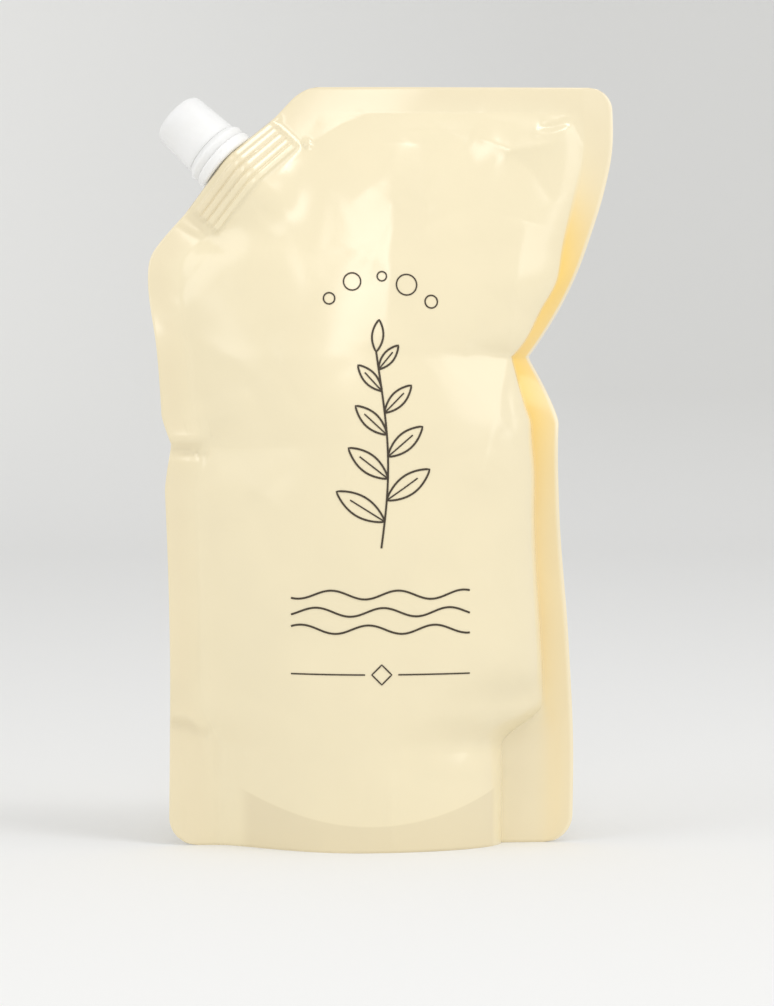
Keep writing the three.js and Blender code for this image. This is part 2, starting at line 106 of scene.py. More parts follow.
# Spout, band and cap
CANOE_LENGTH = 34
CANOE_THICKNESS = 14
CANOE_DEPTH = 9
CANOE_ALONG = 2.5
RIB_COUNT = 4
RIB_PITCH = 2.1
RIB_THICKNESS = 0.9
RIB_PROUD = 0.4
SLEEVE_FILM = 0.7
COLLAR_DIAMETER = 21
COLLAR_HEIGHT = 3
COLLAR_LIFT = 0.6
COLLAR_CHAMFER = 0.5
COLLAR_SEAT = 0.2
BORE_DIAMETER = 10.6
NECK_DIAMETER = 13.4
MOUTH_GAP = 0.9
MOUTH_CHAMFER = 0.6
BEAD_PROUD = 0.75
BEAD_HEIGHT = 1.1
BEAD_DROP = 1.25
SHOULDER = 0.6
THREAD_LEAD = 3
THREAD_TURNS = 1.5
THREAD_PROUD = 0.65
THREAD_BASE = 1.2
THREAD_CREST = 0.6
THREAD_BURY = 0.4
THREAD_BELOW_MOUTH = 2.2
BAND_HEIGHT = 3.6
BAND_FLARE = 20.7
BAND_UNDERCUT = 0.7
BAND_BEVEL = 1.4
BAND_RIM = 0.6
CAP_HEIGHT = 15.9
CAP_BASE_DIAMETER = 18.6
CAP_TOP_DIAMETER = 17.3
CAP_TOP_THICKNESS = 1.2
CAP_EDGE_RADIUS = 2.6
CAP_CROWN = 0.4
CAP_SKIRT = 0.8
CAP_INNER_CHAMFER = 0.8
CLEARANCE = 0.3
THREAD_CLEARANCE = 0.4

# Fineness of the film's mesh
LEFT_SEAL_COLUMNS = 28
PANEL_COLUMNS = 120
RIGHT_SEAL_COLUMNS = 10
LOW_ROWS = 122
SPOUT_ROWS = 104
EDGE_ROUND = 0.5
GUSSET_ROWS = 12
SKIRT_ROWS = 18
MERGE = 0.004
ROUND_STEPS = 96

half_width = FLAT_WIDTH / 2
fill_top = PACK_HEIGHT - TOP_SEAL
cut_start = PACK_HEIGHT - CUT_DOWN
cut_angle = atan2(CUT_DOWN, CUT_ACROSS)
spout_x = -half_width + CUT_ACROSS / 2 + CANOE_ALONG * cos(cut_angle)
spout_z = PACK_HEIGHT - CUT_DOWN / 2 + CANOE_ALONG * sin(cut_angle)
canoe_half = CANOE_THICKNESS / 2
canoe_taper = asin(CANOE_THICKNESS / CANOE_LENGTH)
pocket_half = canoe_half + RIB_PROUD + CLEARANCE
sleeve_half = pocket_half + SLEEVE_FILM


def smooth_step(value, low, high):
    share = np.clip((value - low) / (high - low), 0, 1)
    return share * share * (3 - 2 * share)


def mix(start, end, share):
    return start + (end - start) * share


def soft_max(a, b, softness):
    return (a + b + np.hypot(a - b, softness)) / 2


def through(stations, at):
    """A smooth curve through (place, value) stations, level past both ends."""
    places, values = np.array(stations, float).T
    secants = np.diff(values) / np.diff(places)
    slopes = np.concatenate([secants[:1], (secants[1:] + secants[:-1]) / 2, secants[-1:]])
    at = np.clip(at, places[0], places[-1])
    left = np.clip(np.searchsorted(places, at, side="right") - 1, 0, len(places) - 2)
    length = places[left + 1] - places[left]
    t = (at - places[left]) / length
    start = (1 + 2 * t) * (1 - t) ** 2 * values[left] + t * (1 - t) ** 2 * length * slopes[left]
    end = t ** 2 * (3 - 2 * t) * values[left + 1] - t ** 2 * (1 - t) * length * slopes[left + 1]
    return start + end


# Outline of the film, over its height

def kink_pull(z, kink):
    reach = np.where(z > kink["height"], kink["above"], kink["below"])
    sharpness = np.where(z > kink["height"], kink["sharp_above"], kink["sharp_below"])
    away = np.minimum(np.abs(z - kink["height"]) / reach, 1)
    return kink["pull"] * (1 - away) ** sharpness


def round_corner(distance, radius):
    return radius - np.sqrt(radius ** 2 - np.maximum(radius - distance, 0) ** 2)


def left_line(z):
    side = -half_width + through(LEFT_INSET, z / PACK_HEIGHT) + kink_pull(z, LEFT_KINK)
    cut = -half_width + CUT_ACROSS * (z - cut_start) / CUT_DOWN
    return soft_max(side, cut, CUT_SIDE_SOFTNESS)


def right_line(z):
    return half_width - through(RIGHT_INSET, z / PACK_HEIGHT) - kink_pull(z, RIGHT_KINK)


def left_tip(z):
    return left_line(z) + round_corner(z, FOOT_RADIUS) + round_corner(PACK_HEIGHT - z, CUT_TOP_RADIUS)


def right_tip(z):
    return right_line(z) - round_corner(z, FOOT_RADIUS) - round_corner(PACK_HEIGHT - z, CORNER_RADIUS)


def seal_width(z, ear_width):
    return mix(ear_width, SIDE_SEAL, smooth_step(z, GUSSET_HEIGHT - EAR_TAPER, GUSSET_HEIGHT))


def right_bend(z):
    middle = (RIGHT_BEND_FROM + RIGHT_BEND_TO) / 2
    rising = smooth_step(z, RIGHT_BEND_FROM, middle)
    return RIGHT_BEND * rising * (1 - smooth_step(z, middle, RIGHT_BEND_TO))


def left_root(z):
    on_cut = smooth_step(z, cut_start - CUT_SIDE_SOFTNESS, cut_start + 2 * CUT_SIDE_SOFTNESS)
    return left_line(z) + mix(seal_width(z, LEFT_EAR_WIDTH), SIDE_SEAL / sin(cut_angle), on_cut)


def right_root(z):
    width = seal_width(z, RIGHT_EAR_WIDTH) * through(RIGHT_SEAL_SHARE, z)
    return right_line(z) - np.sqrt(width ** 2 - right_bend(z) ** 2)


def strip_root(z):
    """Inner edge of the right side's weld, also where the ear reaches further in."""
    return np.maximum(right_root(z), right_line(z) - SIDE_SEAL)


# Form of the film, over the flat places (x, z)

def from_cut(x, z):
    across = x - spout_x
    up = z - spout_z
    along = across * cos(cut_angle) + up * sin(cut_angle)
    inward = across * sin(cut_angle) - up * cos(cut_angle)
    return along, inward


def seam_plane(x, z):
    leaning = np.maximum(z - LEAN_FROM, 0) / (PACK_HEIGHT - LEAN_FROM)
    folded = np.maximum(CORNER_FOLD - from_cut(x, z)[1], 0)
    return TOP_LEAN * leaning ** 2 + CORNER_FOLD_SLOPE * folded ** 2 / (2 * CORNER_FOLD)


def seam_normal(x, z):
    reach = 0.5
    slope_x = (seam_plane(x + reach, z) - seam_plane(x - reach, z)) / (2 * reach)
    slope_z = (seam_plane(x, z + reach) - seam_plane(x, z - reach)) / (2 * reach)
    normal = np.stack([slope_x, -np.ones_like(slope_x), slope_z], -1)
    return normal / np.linalg.norm(normal, axis=-1, keepdims=True)


def boat_half(along, half, stretch):
    """Half the thickness of the spout's boat-shaped base, a circle drawn out to a point at each end."""
    length = half / sin(canoe_taper) * stretch
    taper = np.arcsin(half / length)
    away = np.abs(along)
    round_part = np.sqrt(np.maximum(half ** 2 - away ** 2, 0))
    return np.where(away < half * np.sin(taper), round_part, np.maximum(length - away, 0) * np.tan(taper))


def spout_tent(x, z):
    """The film drawn from the spout's base down to the bulging panel."""
    along, inward = from_cut(x, z)
    slack = smooth_step(inward, CANOE_DEPTH, CANOE_DEPTH + CORNER_FOLD)
    return boat_half(along, sleeve_half, 1 + TENT_SPREAD * slack) * (1 - slack)


# Hollows in a panel: centre, reach across and up, and how much of the bulge they take
FRONT = {
    "side": 1,
    "bulge": FRONT_BULGE,
    "hollows": [
        (44, 149, 17, 13, 0.3), (-58, 121, 16, 11, 0.2), (48, 44, 16, 7, 0.22), (-55, 43, 14, 7, 0.22),
    ],
}
BACK = {
    "side": -1,
    "bulge": BACK_BULGE,
    "hollows": [
        (43, 150, 20, 16, 0.32), (-55, 124, 18, 12, 0.2), (48, 43, 16, 7, 0.2), (-55, 44, 15, 7, 0.2),
    ],
}


def bulge_at(x, z, panel):
    share = np.clip((x - left_root(z)) / (right_root(z) - left_root(z)), 0, 1)
    softness = LEFT_ROOT_SOFTNESS * np.maximum(1 - 2 * share, 0)
    share = np.hypot(share, softness) - softness
    height = z / fill_top
    blunt = np.where(share < 0.5, through(LEFT_BLUNTNESS, height), through(RIGHT_BLUNTNESS, height))
    arch = (2 * np.sqrt(share * (1 - share))) ** (2 * blunt)
    left = np.ones_like(x)
    for centre_x, centre_z, across, up, take in panel["hollows"]:
        left *= 1 - take * np.exp(-((x - centre_x) / across) ** 2 - ((z - centre_z) / up) ** 2)
    return panel["bulge"] * np.maximum(through(FULLNESS, height), 0) * arch * left


# Creases in the film: points (x, z) along the fold, width, height out of the panel and sharpness,
# which is 1 for a sharp fold and 2 for a soft one
FRONT_CREASES = [
    # Down the right flank, past the kink, and out from the kink
    ([(44, 190), (42, 180), (38.6, 150), (35.5, 134), (29, 110)], 4, 1, 1),
    ([(41, 149.2), (35, 149.8), (26, 152)], 2.4, -1, 1),
    ([(41, 147), (38, 137), (40, 126)], 3, -0.6, 1),
    # Below the spout's lower end
    ([(-49, 186), (-54, 177), (-63, 166)], 2.6, -0.6, 1),
    ([(-52, 183), (-58, 172), (-64, 158)], 5, 0.5, 2),
    ([(-63, 192), (-59, 189), (-55, 187)], 1, 0.4, 1),
    ([(-62, 189.5), (-58, 186.5), (-54, 184)], 1, -0.4, 1),
    ([(-60, 194), (-57, 192), (-54, 191)], 0.8, 0.35, 1),
    # Bubbles and folds past the spout's upper end, and under the top seal
    ([(-31.8, 221.8), (-30.4, 223.2)], 1.1, 0.6, 2),
    ([(-22.8, 213.4), (-20.8, 214.8)], 1.2, 0.7, 2),
    ([(-21.5, 214), (-12, 220), (-4, 223)], 2, -0.5, 1),
    ([(-26, 209), (-14, 198), (-8, 182)], 6, 0.3, 1),
    ([(-36, 197), (-26, 184), (-22, 168)], 7, -0.25, 1),
    ([(4, 214), (3.5, 190), (1, 150)], 6, 0.8, 1),
    ([(13, 219), (14, 200), (11, 176)], 4, -0.5, 1),
    # Top right corner of the filling: a slanting facet and three short puckers
    ([(28, 217), (40, 212), (52, 214), (60, 219)], 4, 1.3, 1),
    ([(40, 211), (48, 204), (53, 196)], 3.5, -0.6, 1),
    ([(50, 221.4), (54.5, 222), (59, 223.4)], 0.9, 0.5, 1),
    ([(49, 219.4), (54, 219.6), (58.5, 221.4)], 0.9, -0.5, 1),
    ([(47, 217), (53, 217.2), (58.5, 219.4)], 1, 0.5, 1),
    # Dent in the left seam
    ([(-66, 124), (-58, 123.8), (-52, 126)], 2.4, 1.6, 1),
    ([(-67, 121), (-58, 120.4), (-53, 119)], 1.6, -2.2, 1),
    ([(-60, 128), (-52, 131), (-40, 137)], 4, 0.5, 2),
    # Bottom
    ([(1.3, 25), (0.9, 12), (1.2, 1)], 1.6, 0.5, 1),
    ([(-67, 40), (-60, 39.6), (-53, 35)], 1.8, 1.6, 1),
    ([(-67, 36.6), (-59, 36), (-53, 32)], 1.8, -1.2, 1),
    ([(-53, 35), (-51, 24), (-48, 12)], 3, 0.4, 1),
    ([(49, 44), (47, 38), (38, 31)], 2, -0.6, 1),
    ([(52, 48), (44, 41), (36, 38)], 3, 0.5, 1),
    ([(30, 40), (33, 28), (31, 14)], 4, 0.5, 1),
]
BACK_CREASES = [
    ([(42, 149.2), (33, 150), (24, 153)], 2.4, -1, 1),
    ([(43, 186), (40, 168), (37, 148), (30, 124)], 4.5, 1, 1),
    ([(-65, 123.4), (-58, 123.6), (-52, 125)], 2.2, -0.9, 1),
    ([(-66, 121.2), (-58, 120.6), (-53, 119.4)], 1.6, 1.1, 1),
    ([(-58, 129), (-50, 134), (-40, 142)], 4, 0.5, 2),
    ([(-50, 186), (-55, 176), (-63, 165)], 2.6, -0.6, 1),
    ([(-30, 221), (-26, 212), (-20, 200)], 3, 0.6, 1),
    ([(-38, 196), (-30, 182), (-28, 164)], 6, -0.5, 1),
    ([(30, 218), (42, 212), (54, 215), (60, 220)], 4, 1.1, 1),
    ([(-6, 217), (-9, 196), (-4, 162)], 6, 0.8, 1),
    ([(10, 219), (9, 200), (13, 178)], 4, -0.5, 1),
    ([(-4, 22), (-3, 12), (-4, 1)], 1.6, 0.4, 1),
    ([(-64, 40), (-58, 40), (-52, 36)], 1.8, -0.7, 1),
    ([(50, 44), (46, 38), (38, 32)], 2, -0.6, 1),
    ([(28, 42), (31, 28), (29, 14)], 4, 0.5, 1),
]
FOLD_ROUND = 0.5
ROOT_BLEND = 6
SEAM_CREASE = 0.8

# Faint creases strewn by chance: where across, their slant in degrees, half length, bow, width and height
STREW_LEFT = -55
STREW_RIGHT = 45
STREW_SLANT = (25, 80)
STREW_REACH = (5, 16)
STREW_BOW = 2
STREW_WIDTH = (1.6, 4)
STREW_HEIGHT = (0.1, 0.3)


def scattered_creases(seed, count, low, high):
    """Faint slanting folds strewn over a panel between two heights."""
    chance = np.random.default_rng(seed)
    folds = []
    for _ in range(count):
        middle = chance.uniform((STREW_LEFT, low), (STREW_RIGHT, high))
        slant = chance.choice((1, -1)) * radians(chance.uniform(*STREW_SLANT))
        reach = chance.uniform(*STREW_REACH) * np.array([cos(slant), sin(slant)])
        points = [middle - reach, middle + chance.uniform(-STREW_BOW, STREW_BOW, 2), middle + reach]
        width = chance.uniform(*STREW_WIDTH)
        height = chance.choice((1, -1)) * chance.uniform(*STREW_HEIGHT)
        folds.append((points, width, height, 1))
    return folds


FRONT_CREASES += scattered_creases(4, 36, 110, 215) + scattered_creases(6, 16, 25, 110)
BACK_CREASES += scattered_creases(9, 36, 110, 215) + scattered_creases(3, 16, 25, 110)


def crease_height(x, z, points, width, height, sharpness):
    places = np.array(points, float)
    steps = np.diff(places, axis=0)
    lengths = np.hypot(steps[:, 0], steps[:, 1])
    done = np.concatenate([[0], np.cumsum(lengths)])
    nearest = np.full(x.shape, np.inf)
    along = np.zeros(x.shape)
    for start, step, length, before in zip(places, steps, lengths, done):
        share = np.clip(((x - start[0]) * step[0] + (z - start[1]) * step[1]) / length ** 2, 0, 1)
        away = np.hypot(x - start[0] - share * step[0], z - start[1] - share * step[1])
        along = np.where(away < nearest, (before + share * length) / done[-1], along)
        nearest = np.minimum(away, nearest)
    fade = np.sqrt(np.maximum(np.sin(pi * along), 0))
    away = np.hypot(nearest, FOLD_ROUND) - FOLD_ROUND
    return height * fade * np.exp(-(away / width) ** sharpness)


# Loose film: height of its waves low on the pack, how much more it is at the top, and where it grows
SLACK_LOW = 0.18
SLACK_MORE = 0.5
SLACK_FROM = 110
SLACK_TO = 205


def slack_waves(x, z):
    """Shallow waves of film that hangs a little loose. Each sine's length is in millimetres to a radian."""
    loose = SLACK_LOW + SLACK_MORE * smooth_step(z, SLACK_FROM, SLACK_TO)
    wide = np.sin(x / 10.5 + 0.9 * np.sin(z / 19)) * np.sin(z / 21 + 0.8 + 0.5 * np.sin(x / 27))
    slanted = np.sin((x + 0.7 * z) / 13 + 1.3) * np.sin((z - 0.6 * x) / 17)
    fine = np.sin(x / 5.2 - z / 14 + 1.3) * np.sin(z / 9 - x / 23)
    return loose * (0.5 * wide + 0.4 * slanted + 0.2 * fine)


# The weld over the spout's base: a pressed bar with broad ridges, clear of the film's edge
BAR_HALF = 18.2
BAR_START = 2.2
BAR_END = 11.8
BAR_PROUD = 0.45
BAR_RIDGE = 0.55
BAR_BLEND = 0.6
BAR_LIP = (0.2, 0.8)
RIDGE_FLANK = (0.26, 0.46)
RIDGE_BLEND = 0.1


def weld_bar(x, z):
    along, inward = from_cut(x, z)
    ends = 1 - smooth_step(np.abs(along), BAR_HALF - BAR_BLEND, BAR_HALF + BAR_BLEND)
    past_end = smooth_step(inward, BAR_END - BAR_BLEND, BAR_END + BAR_BLEND)
    depth = smooth_step(inward, *BAR_LIP) * (1 - past_end)
    pitch = (BAR_END - BAR_START) / RIB_COUNT
    phase = np.abs((inward - BAR_START) / pitch % 1 - 0.5)
    begun = smooth_step(inward, BAR_START - RIDGE_BLEND, BAR_START + RIDGE_BLEND)
    ridges = (1 - smooth_step(phase, *RIDGE_FLANK)) * begun
    return ends * depth * (BAR_PROUD + BAR_RIDGE * ridges)


# Heights between which the left seal's waves die out below the cut corner
FLANGE_STILL = (165, 180)


def flange_wave(x, z):
    """How far the loose side seals wave out of the plane of the seam."""
    left = np.clip((left_root(z) - x) / SIDE_SEAL, 0, 1) * (1 - smooth_step(z, *FLANGE_STILL))
    right = np.clip((x - right_root(z)) / SIDE_SEAL, 0, 1)
    left_wave = 0.7 * np.sin(z / 13) + 0.4 * np.sin(z / 5.3 + 1)
    right_wave = 0.4 * np.sin(z / 16 + 2) + 0.15 * np.sin(z / 6.1)
    return left * left_wave + right * right_wave


def crease_sum(x, z, panel):
    creases = FRONT_CREASES if panel is FRONT else BACK_CREASES
    return sum(crease_height(x, z, *crease) for crease in creases)


def on_panel(x, z):
    """0 on the welded seams, rising to 1 a little way inside the filled panel."""
    inside = np.minimum(x - left_root(z), right_root(z) - x)
    return smooth_step(np.minimum(inside, fill_top - z), 0, ROOT_BLEND)


def relief(x, z, panel):
    return (crease_sum(x, z, panel) + slack_waves(x, z)) * on_panel(x, z) + weld_bar(x, z)


def seam_depth(x, z):
    """Middle of the welded films, with their waves and the front's creases that run out into them."""
    creased = SEAM_CREASE * crease_sum(x, z, FRONT) * (1 - on_panel(x, z))
    return seam_plane(x, z) + flange_wave(x, z) - creased


def panel_points(x, z, panel, edge):
    """Places on a panel over the flat places (x, z). edge is 0 on the film's cut edge and 1 inside it."""
    bend = right_bend(z) * np.clip((x - right_root(z)) / (right_tip(z) - right_root(z)), 0, 1)
    seam = np.stack([x, seam_depth(x, z) + bend, z], -1)
    filled = np.hypot(bulge_at(x, z, panel), spout_tent(x, z))
    stand = filled + edge * (SEAM_THICKNESS / 2 + relief(x, z, panel))
    return seam + panel["side"] * stand[..., None] * seam_normal(x, z)


def share_across(x):
    left, right = left_root(0.0), right_root(0.0)
    return (2 * x - left - right) / (right - left)


def skirt_top(share):
    away = np.abs(share)
    to_gusset = GUSSET_HEIGHT - EAR_TAPER - SKIRT_HEIGHT - SKIRT_RISE
    return SKIRT_HEIGHT + SKIRT_RISE * away ** 2 + to_gusset * smooth_step(away, SKIRT_TURN, 1)


def skirt_inside(angle, z, panel):
    """Places on the gusset's film where it lies inside a panel. Its two sheets meet only at the ears."""
    x = mix(left_root(z), right_root(z), (1 - np.cos(angle)) / 2)
    seam = np.stack([x, seam_depth(x, z), z], -1)
    filled = bulge_at(x, z, panel) * on_panel(x, z) * (1 - SKIRT_THICKNESS / panel["bulge"])
    apart = np.where(np.sin(angle) > SKIRT_GAP, SKIRT_GAP, 0)
    stand = np.maximum(filled + np.minimum(relief(x, z, panel), 0), apart)
    return seam + panel["side"] * stand[..., None] * seam_normal(x, z)


# Modelling helpers

def deselect_all():
    if bpy.context.object and bpy.context.object.mode != "OBJECT":
        bpy.ops.object.mode_set(mode="OBJECT")
    bpy.ops.object.select_all(action="DESELECT")


def select_only(*pieces):
    deselect_all()
    for piece in pieces:
        piece.select_set(True)
    bpy.context.view_layer.objects.active = pieces[0]


def set_places(piece, places):
    piece.data.vertices.foreach_set("co", (np.asarray(places) * MM).astype(np.float32).ravel())
    piece.data.update()


def get_places(piece):
    places = np.empty(len(piece.data.vertices) * 3, np.float32)
    piece.data.vertices.foreach_get("co", places)
    return places.reshape(-1, 3).astype(float) / MM


def set_attribute(piece, name, values):
    layer = piece.data.attributes.new(name, "FLOAT", "POINT")
    layer.data.foreach_set("value", np.asarray(values, np.float32).ravel())


def flat_grid(name, columns, rows):
    """A square grid, and the column and row number of each of its points."""
    deselect_all()
    bpy.ops.mesh.primitive_grid_add(x_subdivisions=columns - 1, y_subdivisions=rows - 1, size=1)
    grid = bpy.context.object
    grid.name = name
    places = get_places(grid) * MM
    column = np.rint((places[:, 0] + 0.5) * (columns - 1)).astype(int)
    row = np.rint((places[:, 1] + 0.5) * (rows - 1)).astype(int)
    return grid, column, row


def join(name, *pieces):
    select_only(*pieces)
    bpy.ops.object.join()
    joined = bpy.context.object
    joined.name = name
    joined.data.name = name
    return joined


def close_mesh(piece):
    """Merges what meets, and turns the faces outwards."""
    select_only(piece)
    bpy.ops.object.mode_set(mode="EDIT")
    bpy.ops.mesh.select_all(action="SELECT")
    bpy.ops.mesh.remove_doubles(threshold=MERGE * MM)
    bpy.ops.mesh.dissolve_degenerate(threshold=MERGE * MM / 4)
    bpy.ops.mesh.normals_make_consistent(inside=False)
    bpy.ops.object.mode_set(mode="OBJECT")


def smooth_shade(piece, degrees):
    select_only(piece)
    bpy.ops.object.shade_smooth_by_angle(angle=radians(degrees))


def apply_modifier(piece, kind, **settings):
    select_only(piece)
    modifier = piece.modifiers.new(kind, kind)
    for name, value in settings.items():
        setattr(modifier, name, value)
    bpy.ops.object.modifier_apply(modifier=modifier.name)


# The film pouch

seal_start = np.linspace(0, 1, LEFT_SEAL_COLUMNS)
seal_start[1] = EDGE_ROUND / SIDE_SEAL
seal_end = np.linspace(0, 1, RIGHT_SEAL_COLUMNS)
seal_end[-2] = 1 - EDGE_ROUND / SIDE_SEAL
panel_angles = np.linspace(0, pi, PANEL_COLUMNS)
# Each column is a place from 0 to 3: across the left seal, then the panel, then the right seal
across_film = np.concatenate([seal_start, 1 + (1 - np.cos(panel_angles[1:-1])) / 2, 2 + seal_end])
film_rows = np.concatenate([
    [0, EDGE_ROUND],
    np.linspace(2 * EDGE_ROUND, cut_start, LOW_ROWS, endpoint=False),
    np.linspace(cut_start, PACK_HEIGHT - 2 * EDGE_ROUND, SPOUT_ROWS),
    [PACK_HEIGHT - EDGE_ROUND, PACK_HEIGHT],
])


# Arc of the gusset's weld, as it shows through the front
ARC_MIDDLE = -4.5
ARC_HALF = 38
ARC_FADE_LEFT = (-1.08, -0.9)
ARC_FADE_RIGHT = (0.98, 1.04)
FILL_CORNER = 12
EAR_BLEND = 4.5

# Painted shade and glow on the right seal, which stands in the bulge's shade with light coming through the
# film: its strength over the height, where it starts, and the share lost at its outer edge
STRIP_START = (-0.8, 0.4)
STRIP_LOSS = 0.5
STRIP_PAINTED_SHADE = [(0, 0.3), (60, 0.45), (110, 0.6), (150, 1), (165, 1), (185, 0.75), (205, 0.25), (232, 0)]


def flat_places(across, z):
    left = mix(left_tip(z), left_root(z), np.clip(across, 0, 1))
    panel = (right_root(z) - left_root(z)) * np.clip(across - 1, 0, 1)
    right = (right_tip(z) - right_root(z)) * np.clip(across - 2, 0, 1)
    return left + panel + right


def film_panel(name, panel):
    grid, column, row = flat_grid(name, len(across_film), len(film_rows))
    across = across_film[column]
    z = film_rows[row]
    x = flat_places(across, z)
    on_edge = (column == 0) | (column == len(across_film) - 1) | (row == len(film_rows) - 1) | (row == 0)
    set_places(grid, panel_points(x, z, panel, np.where(on_edge, 0, 1)))
    beside = FILL_CORNER - np.minimum(x - left_root(z), right_root(z) - x)
    above = FILL_CORNER - (fill_top - z)
    outside = np.hypot(np.maximum(beside, 0), np.maximum(above, 0))
    past_corner = outside + np.minimum(np.maximum(beside, above), 0)
    set_attribute(grid, "fill_edge", FILL_CORNER - past_corner)
    share = (x - ARC_MIDDLE) / ARC_HALF
    set_attribute(grid, "skirt_edge", SKIRT_HEIGHT + SKIRT_RISE * share ** 2 - z)
    arc_depth = smooth_step(share, *ARC_FADE_LEFT) * (1 - smooth_step(share, *ARC_FADE_RIGHT))
    set_attribute(grid, "skirt_depth", arc_depth)
    # Distance to the right edge, for the painted rim highlight; the left side is kept out of its reach
    set_attribute(grid, "rim_highlight_edge", np.where(x > 0, right_tip(z) - x, SIDE_SEAL))
    # Painted shade and glow: how strongly the right seal is painted deep yellow, most near the kink
    blend = EAR_BLEND * (1 - smooth_step(z, GUSSET_HEIGHT - EAR_TAPER, GUSSET_HEIGHT + EAR_BLEND))
    on_strip = smooth_step(x - strip_root(z), STRIP_START[0] - blend, STRIP_START[1] + blend)
    outwards = np.clip((x - strip_root(z)) / SIDE_SEAL, 0, 1)
    set_attribute(grid, "right_seal_painted_shade", on_strip * through(STRIP_PAINTED_SHADE, z) * (1 - STRIP_LOSS * outwards))
    return grid


def film_gusset():
    """The bottom: up inside the front skirt, over the gusset that sags onto the ground, and down again."""
    half = np.linspace(BELLY_ACROSS, 1, GUSSET_ROWS)
    climb = np.linspace(0, 1, SKIRT_ROWS)
    stops = [("rim", 0, FRONT)]
    stops += [("skirt", rise, FRONT) for rise in climb]
    stops += [("gusset", across, None) for across in np.concatenate([-half[::-1], half])]
    stops += [("skirt", rise, BACK) for rise in climb[::-1]]
    stops += [("rim", 0, BACK)]
    grid, column, row = flat_grid("gusset", PANEL_COLUMNS, len(stops))
    angle = panel_angles[column]
    ground = np.zeros(len(angle))
    x = mix(left_root(ground), right_root(ground), (1 - np.cos(angle)) / 2)
    share = share_across(x)
    top = skirt_top(share)
    places = np.zeros((len(angle), 3))
    for number, (kind, value, panel) in enumerate(stops):
        here = row == number
        if kind == "rim":
            places[here] = panel_points(x[here], ground[here], panel, np.zeros(here.sum()))
        elif kind == "skirt":
            places[here] = skirt_inside(angle[here], value * top[here], panel)
        else:
            front = skirt_inside(angle[here], top[here], FRONT)
            back = skirt_inside(angle[here], top[here], BACK)
            places[here] = mix(front, back, (value + 1) / 2)
            belly = top[here] * smooth_step(np.abs(share[here]), BELLY_ALONG, 1) ** BELLY_CURVE
            rise = max(abs(value) - BELLY_ACROSS, 0) / (1 - BELLY_ACROSS)
            places[here, 2] = mix(belly, top[here], rise ** 2)
    set_places(grid, places)
    far = 20
    plain = {"fill_edge": far, "skirt_edge": far, "skirt_depth": 1, "rim_highlight_edge": far, "right_seal_painted_shade": 0}
    for name, value in plain.items():
        set_attribute(grid, name, np.full(len(angle), value))
    return grid


def spout_frame():
    """Place and turn of the spout on the cut edge, as a matrix in metres."""
    middle = CANOE_DEPTH / 2
    at = np.array([spout_x + middle * sin(cut_angle)]), np.array([spout_z - middle * cos(cut_angle)])
    back = -Vector(seam_normal(*at)[0])
    axis = Vector((cos(cut_angle), 0, sin(cut_angle))).cross(back).normalized()
    along = back.cross(axis)
    depth = float(seam_plane(np.array([spout_x]), np.array([spout_z]))[0])
    turn = Matrix((along, back, axis)).transposed().to_4x4()
    turn.translation = Vector((spout_x, depth, spout_z)) * MM
    return turn


spout_turn = spout_frame()


def open_mouth(pouch):
    """Turns the film's open edge in round the spout's base, and closes the pocket that holds it."""
    to_spout = spout_turn.inverted()
    select_only(pouch)
    bpy.ops.object.mode_set(mode="EDIT")
    bpy.ops.mesh.select_all(action="DESELECT")
    bpy.ops.mesh.select_mode(type="EDGE")
    bpy.ops.mesh.select_non_manifold(
        extend=False, use_wire=False, use_boundary=True, use_multi_face=False,
        use_non_contiguous=False, use_verts=False)
    for grow, down in ((pocket_half / sleeve_half, 0), (1, CANOE_DEPTH + CLEARANCE)):
        bpy.ops.mesh.extrude_edges_move()
        bpy.ops.object.mode_set(mode="OBJECT")
        for point in pouch.data.vertices:
            if point.select:
                local = to_spout @ point.co
                point.co = spout_turn @ Vector((local.x * grow, local.y * grow, local.z - down * MM))
        bpy.ops.object.mode_set(mode="EDIT")
    bpy.ops.mesh.edge_face_add()
    bpy.ops.mesh.select_all(action="SELECT")
    bpy.ops.mesh.normals_make_consistent(inside=False)
    bpy.ops.object.mode_set(mode="OBJECT")


def film_pouch():
    pouch = join("film_pouch", film_panel("front", FRONT), film_panel("back", BACK), film_gusset())
    close_mesh(pouch)
    open_mouth(pouch)
    smooth_shade(pouch, 50)
    return pouch


# Printed line design: a leafy sprig, bubbles, ripples and a rule, as flat ribbons of ink on the film
INK_LINE = 0.6
INK_FINE = 0.45
INK_LIFT = 0.12
INK_THICKNESS = 0.03
PRINT_X = -1.5
STEM_FOOT = 92
STEM_TOP = 150
STEM_SWAY = 2.2
STEM_WAVE = 16
LEAF_COUNT = 8
LEAF_START = 8
LEAF_PITCH = 6.4
LEAF_LENGTH = 17
LEAF_SHRINK = 1.1
LEAF_SLENDER = 0.36
LEAF_LEAN = 58
LEAF_RISE = 2.5
VEIN_SHARE = 0.72
BUD = {"direction": 84, "length": 9.5, "width": 3.4}
# Middle (x, z) and radius of each bubble
BUBBLES = ((-15, 166, 1.7), (-8, 171, 2.6), (1, 172.5, 1.4), (8.5, 170, 3.1), (16, 165, 1.9))
RIPPLE_HALF = 27
RIPPLE_COUNT = 3
RIPPLE_TOP = 78
RIPPLE_PITCH = 5.2
RIPPLE_RISE = 1.3
RIPPLE_WAVE = 3.2
RIPPLE_SHIFT = 1.4
RULE_HEIGHT = 54
RULE_GAP = 5
DIAMOND_HALF = 3


def circle_points(centre, radius, count=33):
    angle = np.linspace(0, 2 * pi, count)
    return np.array(centre) + radius * np.stack([np.cos(angle), np.sin(angle)], -1)


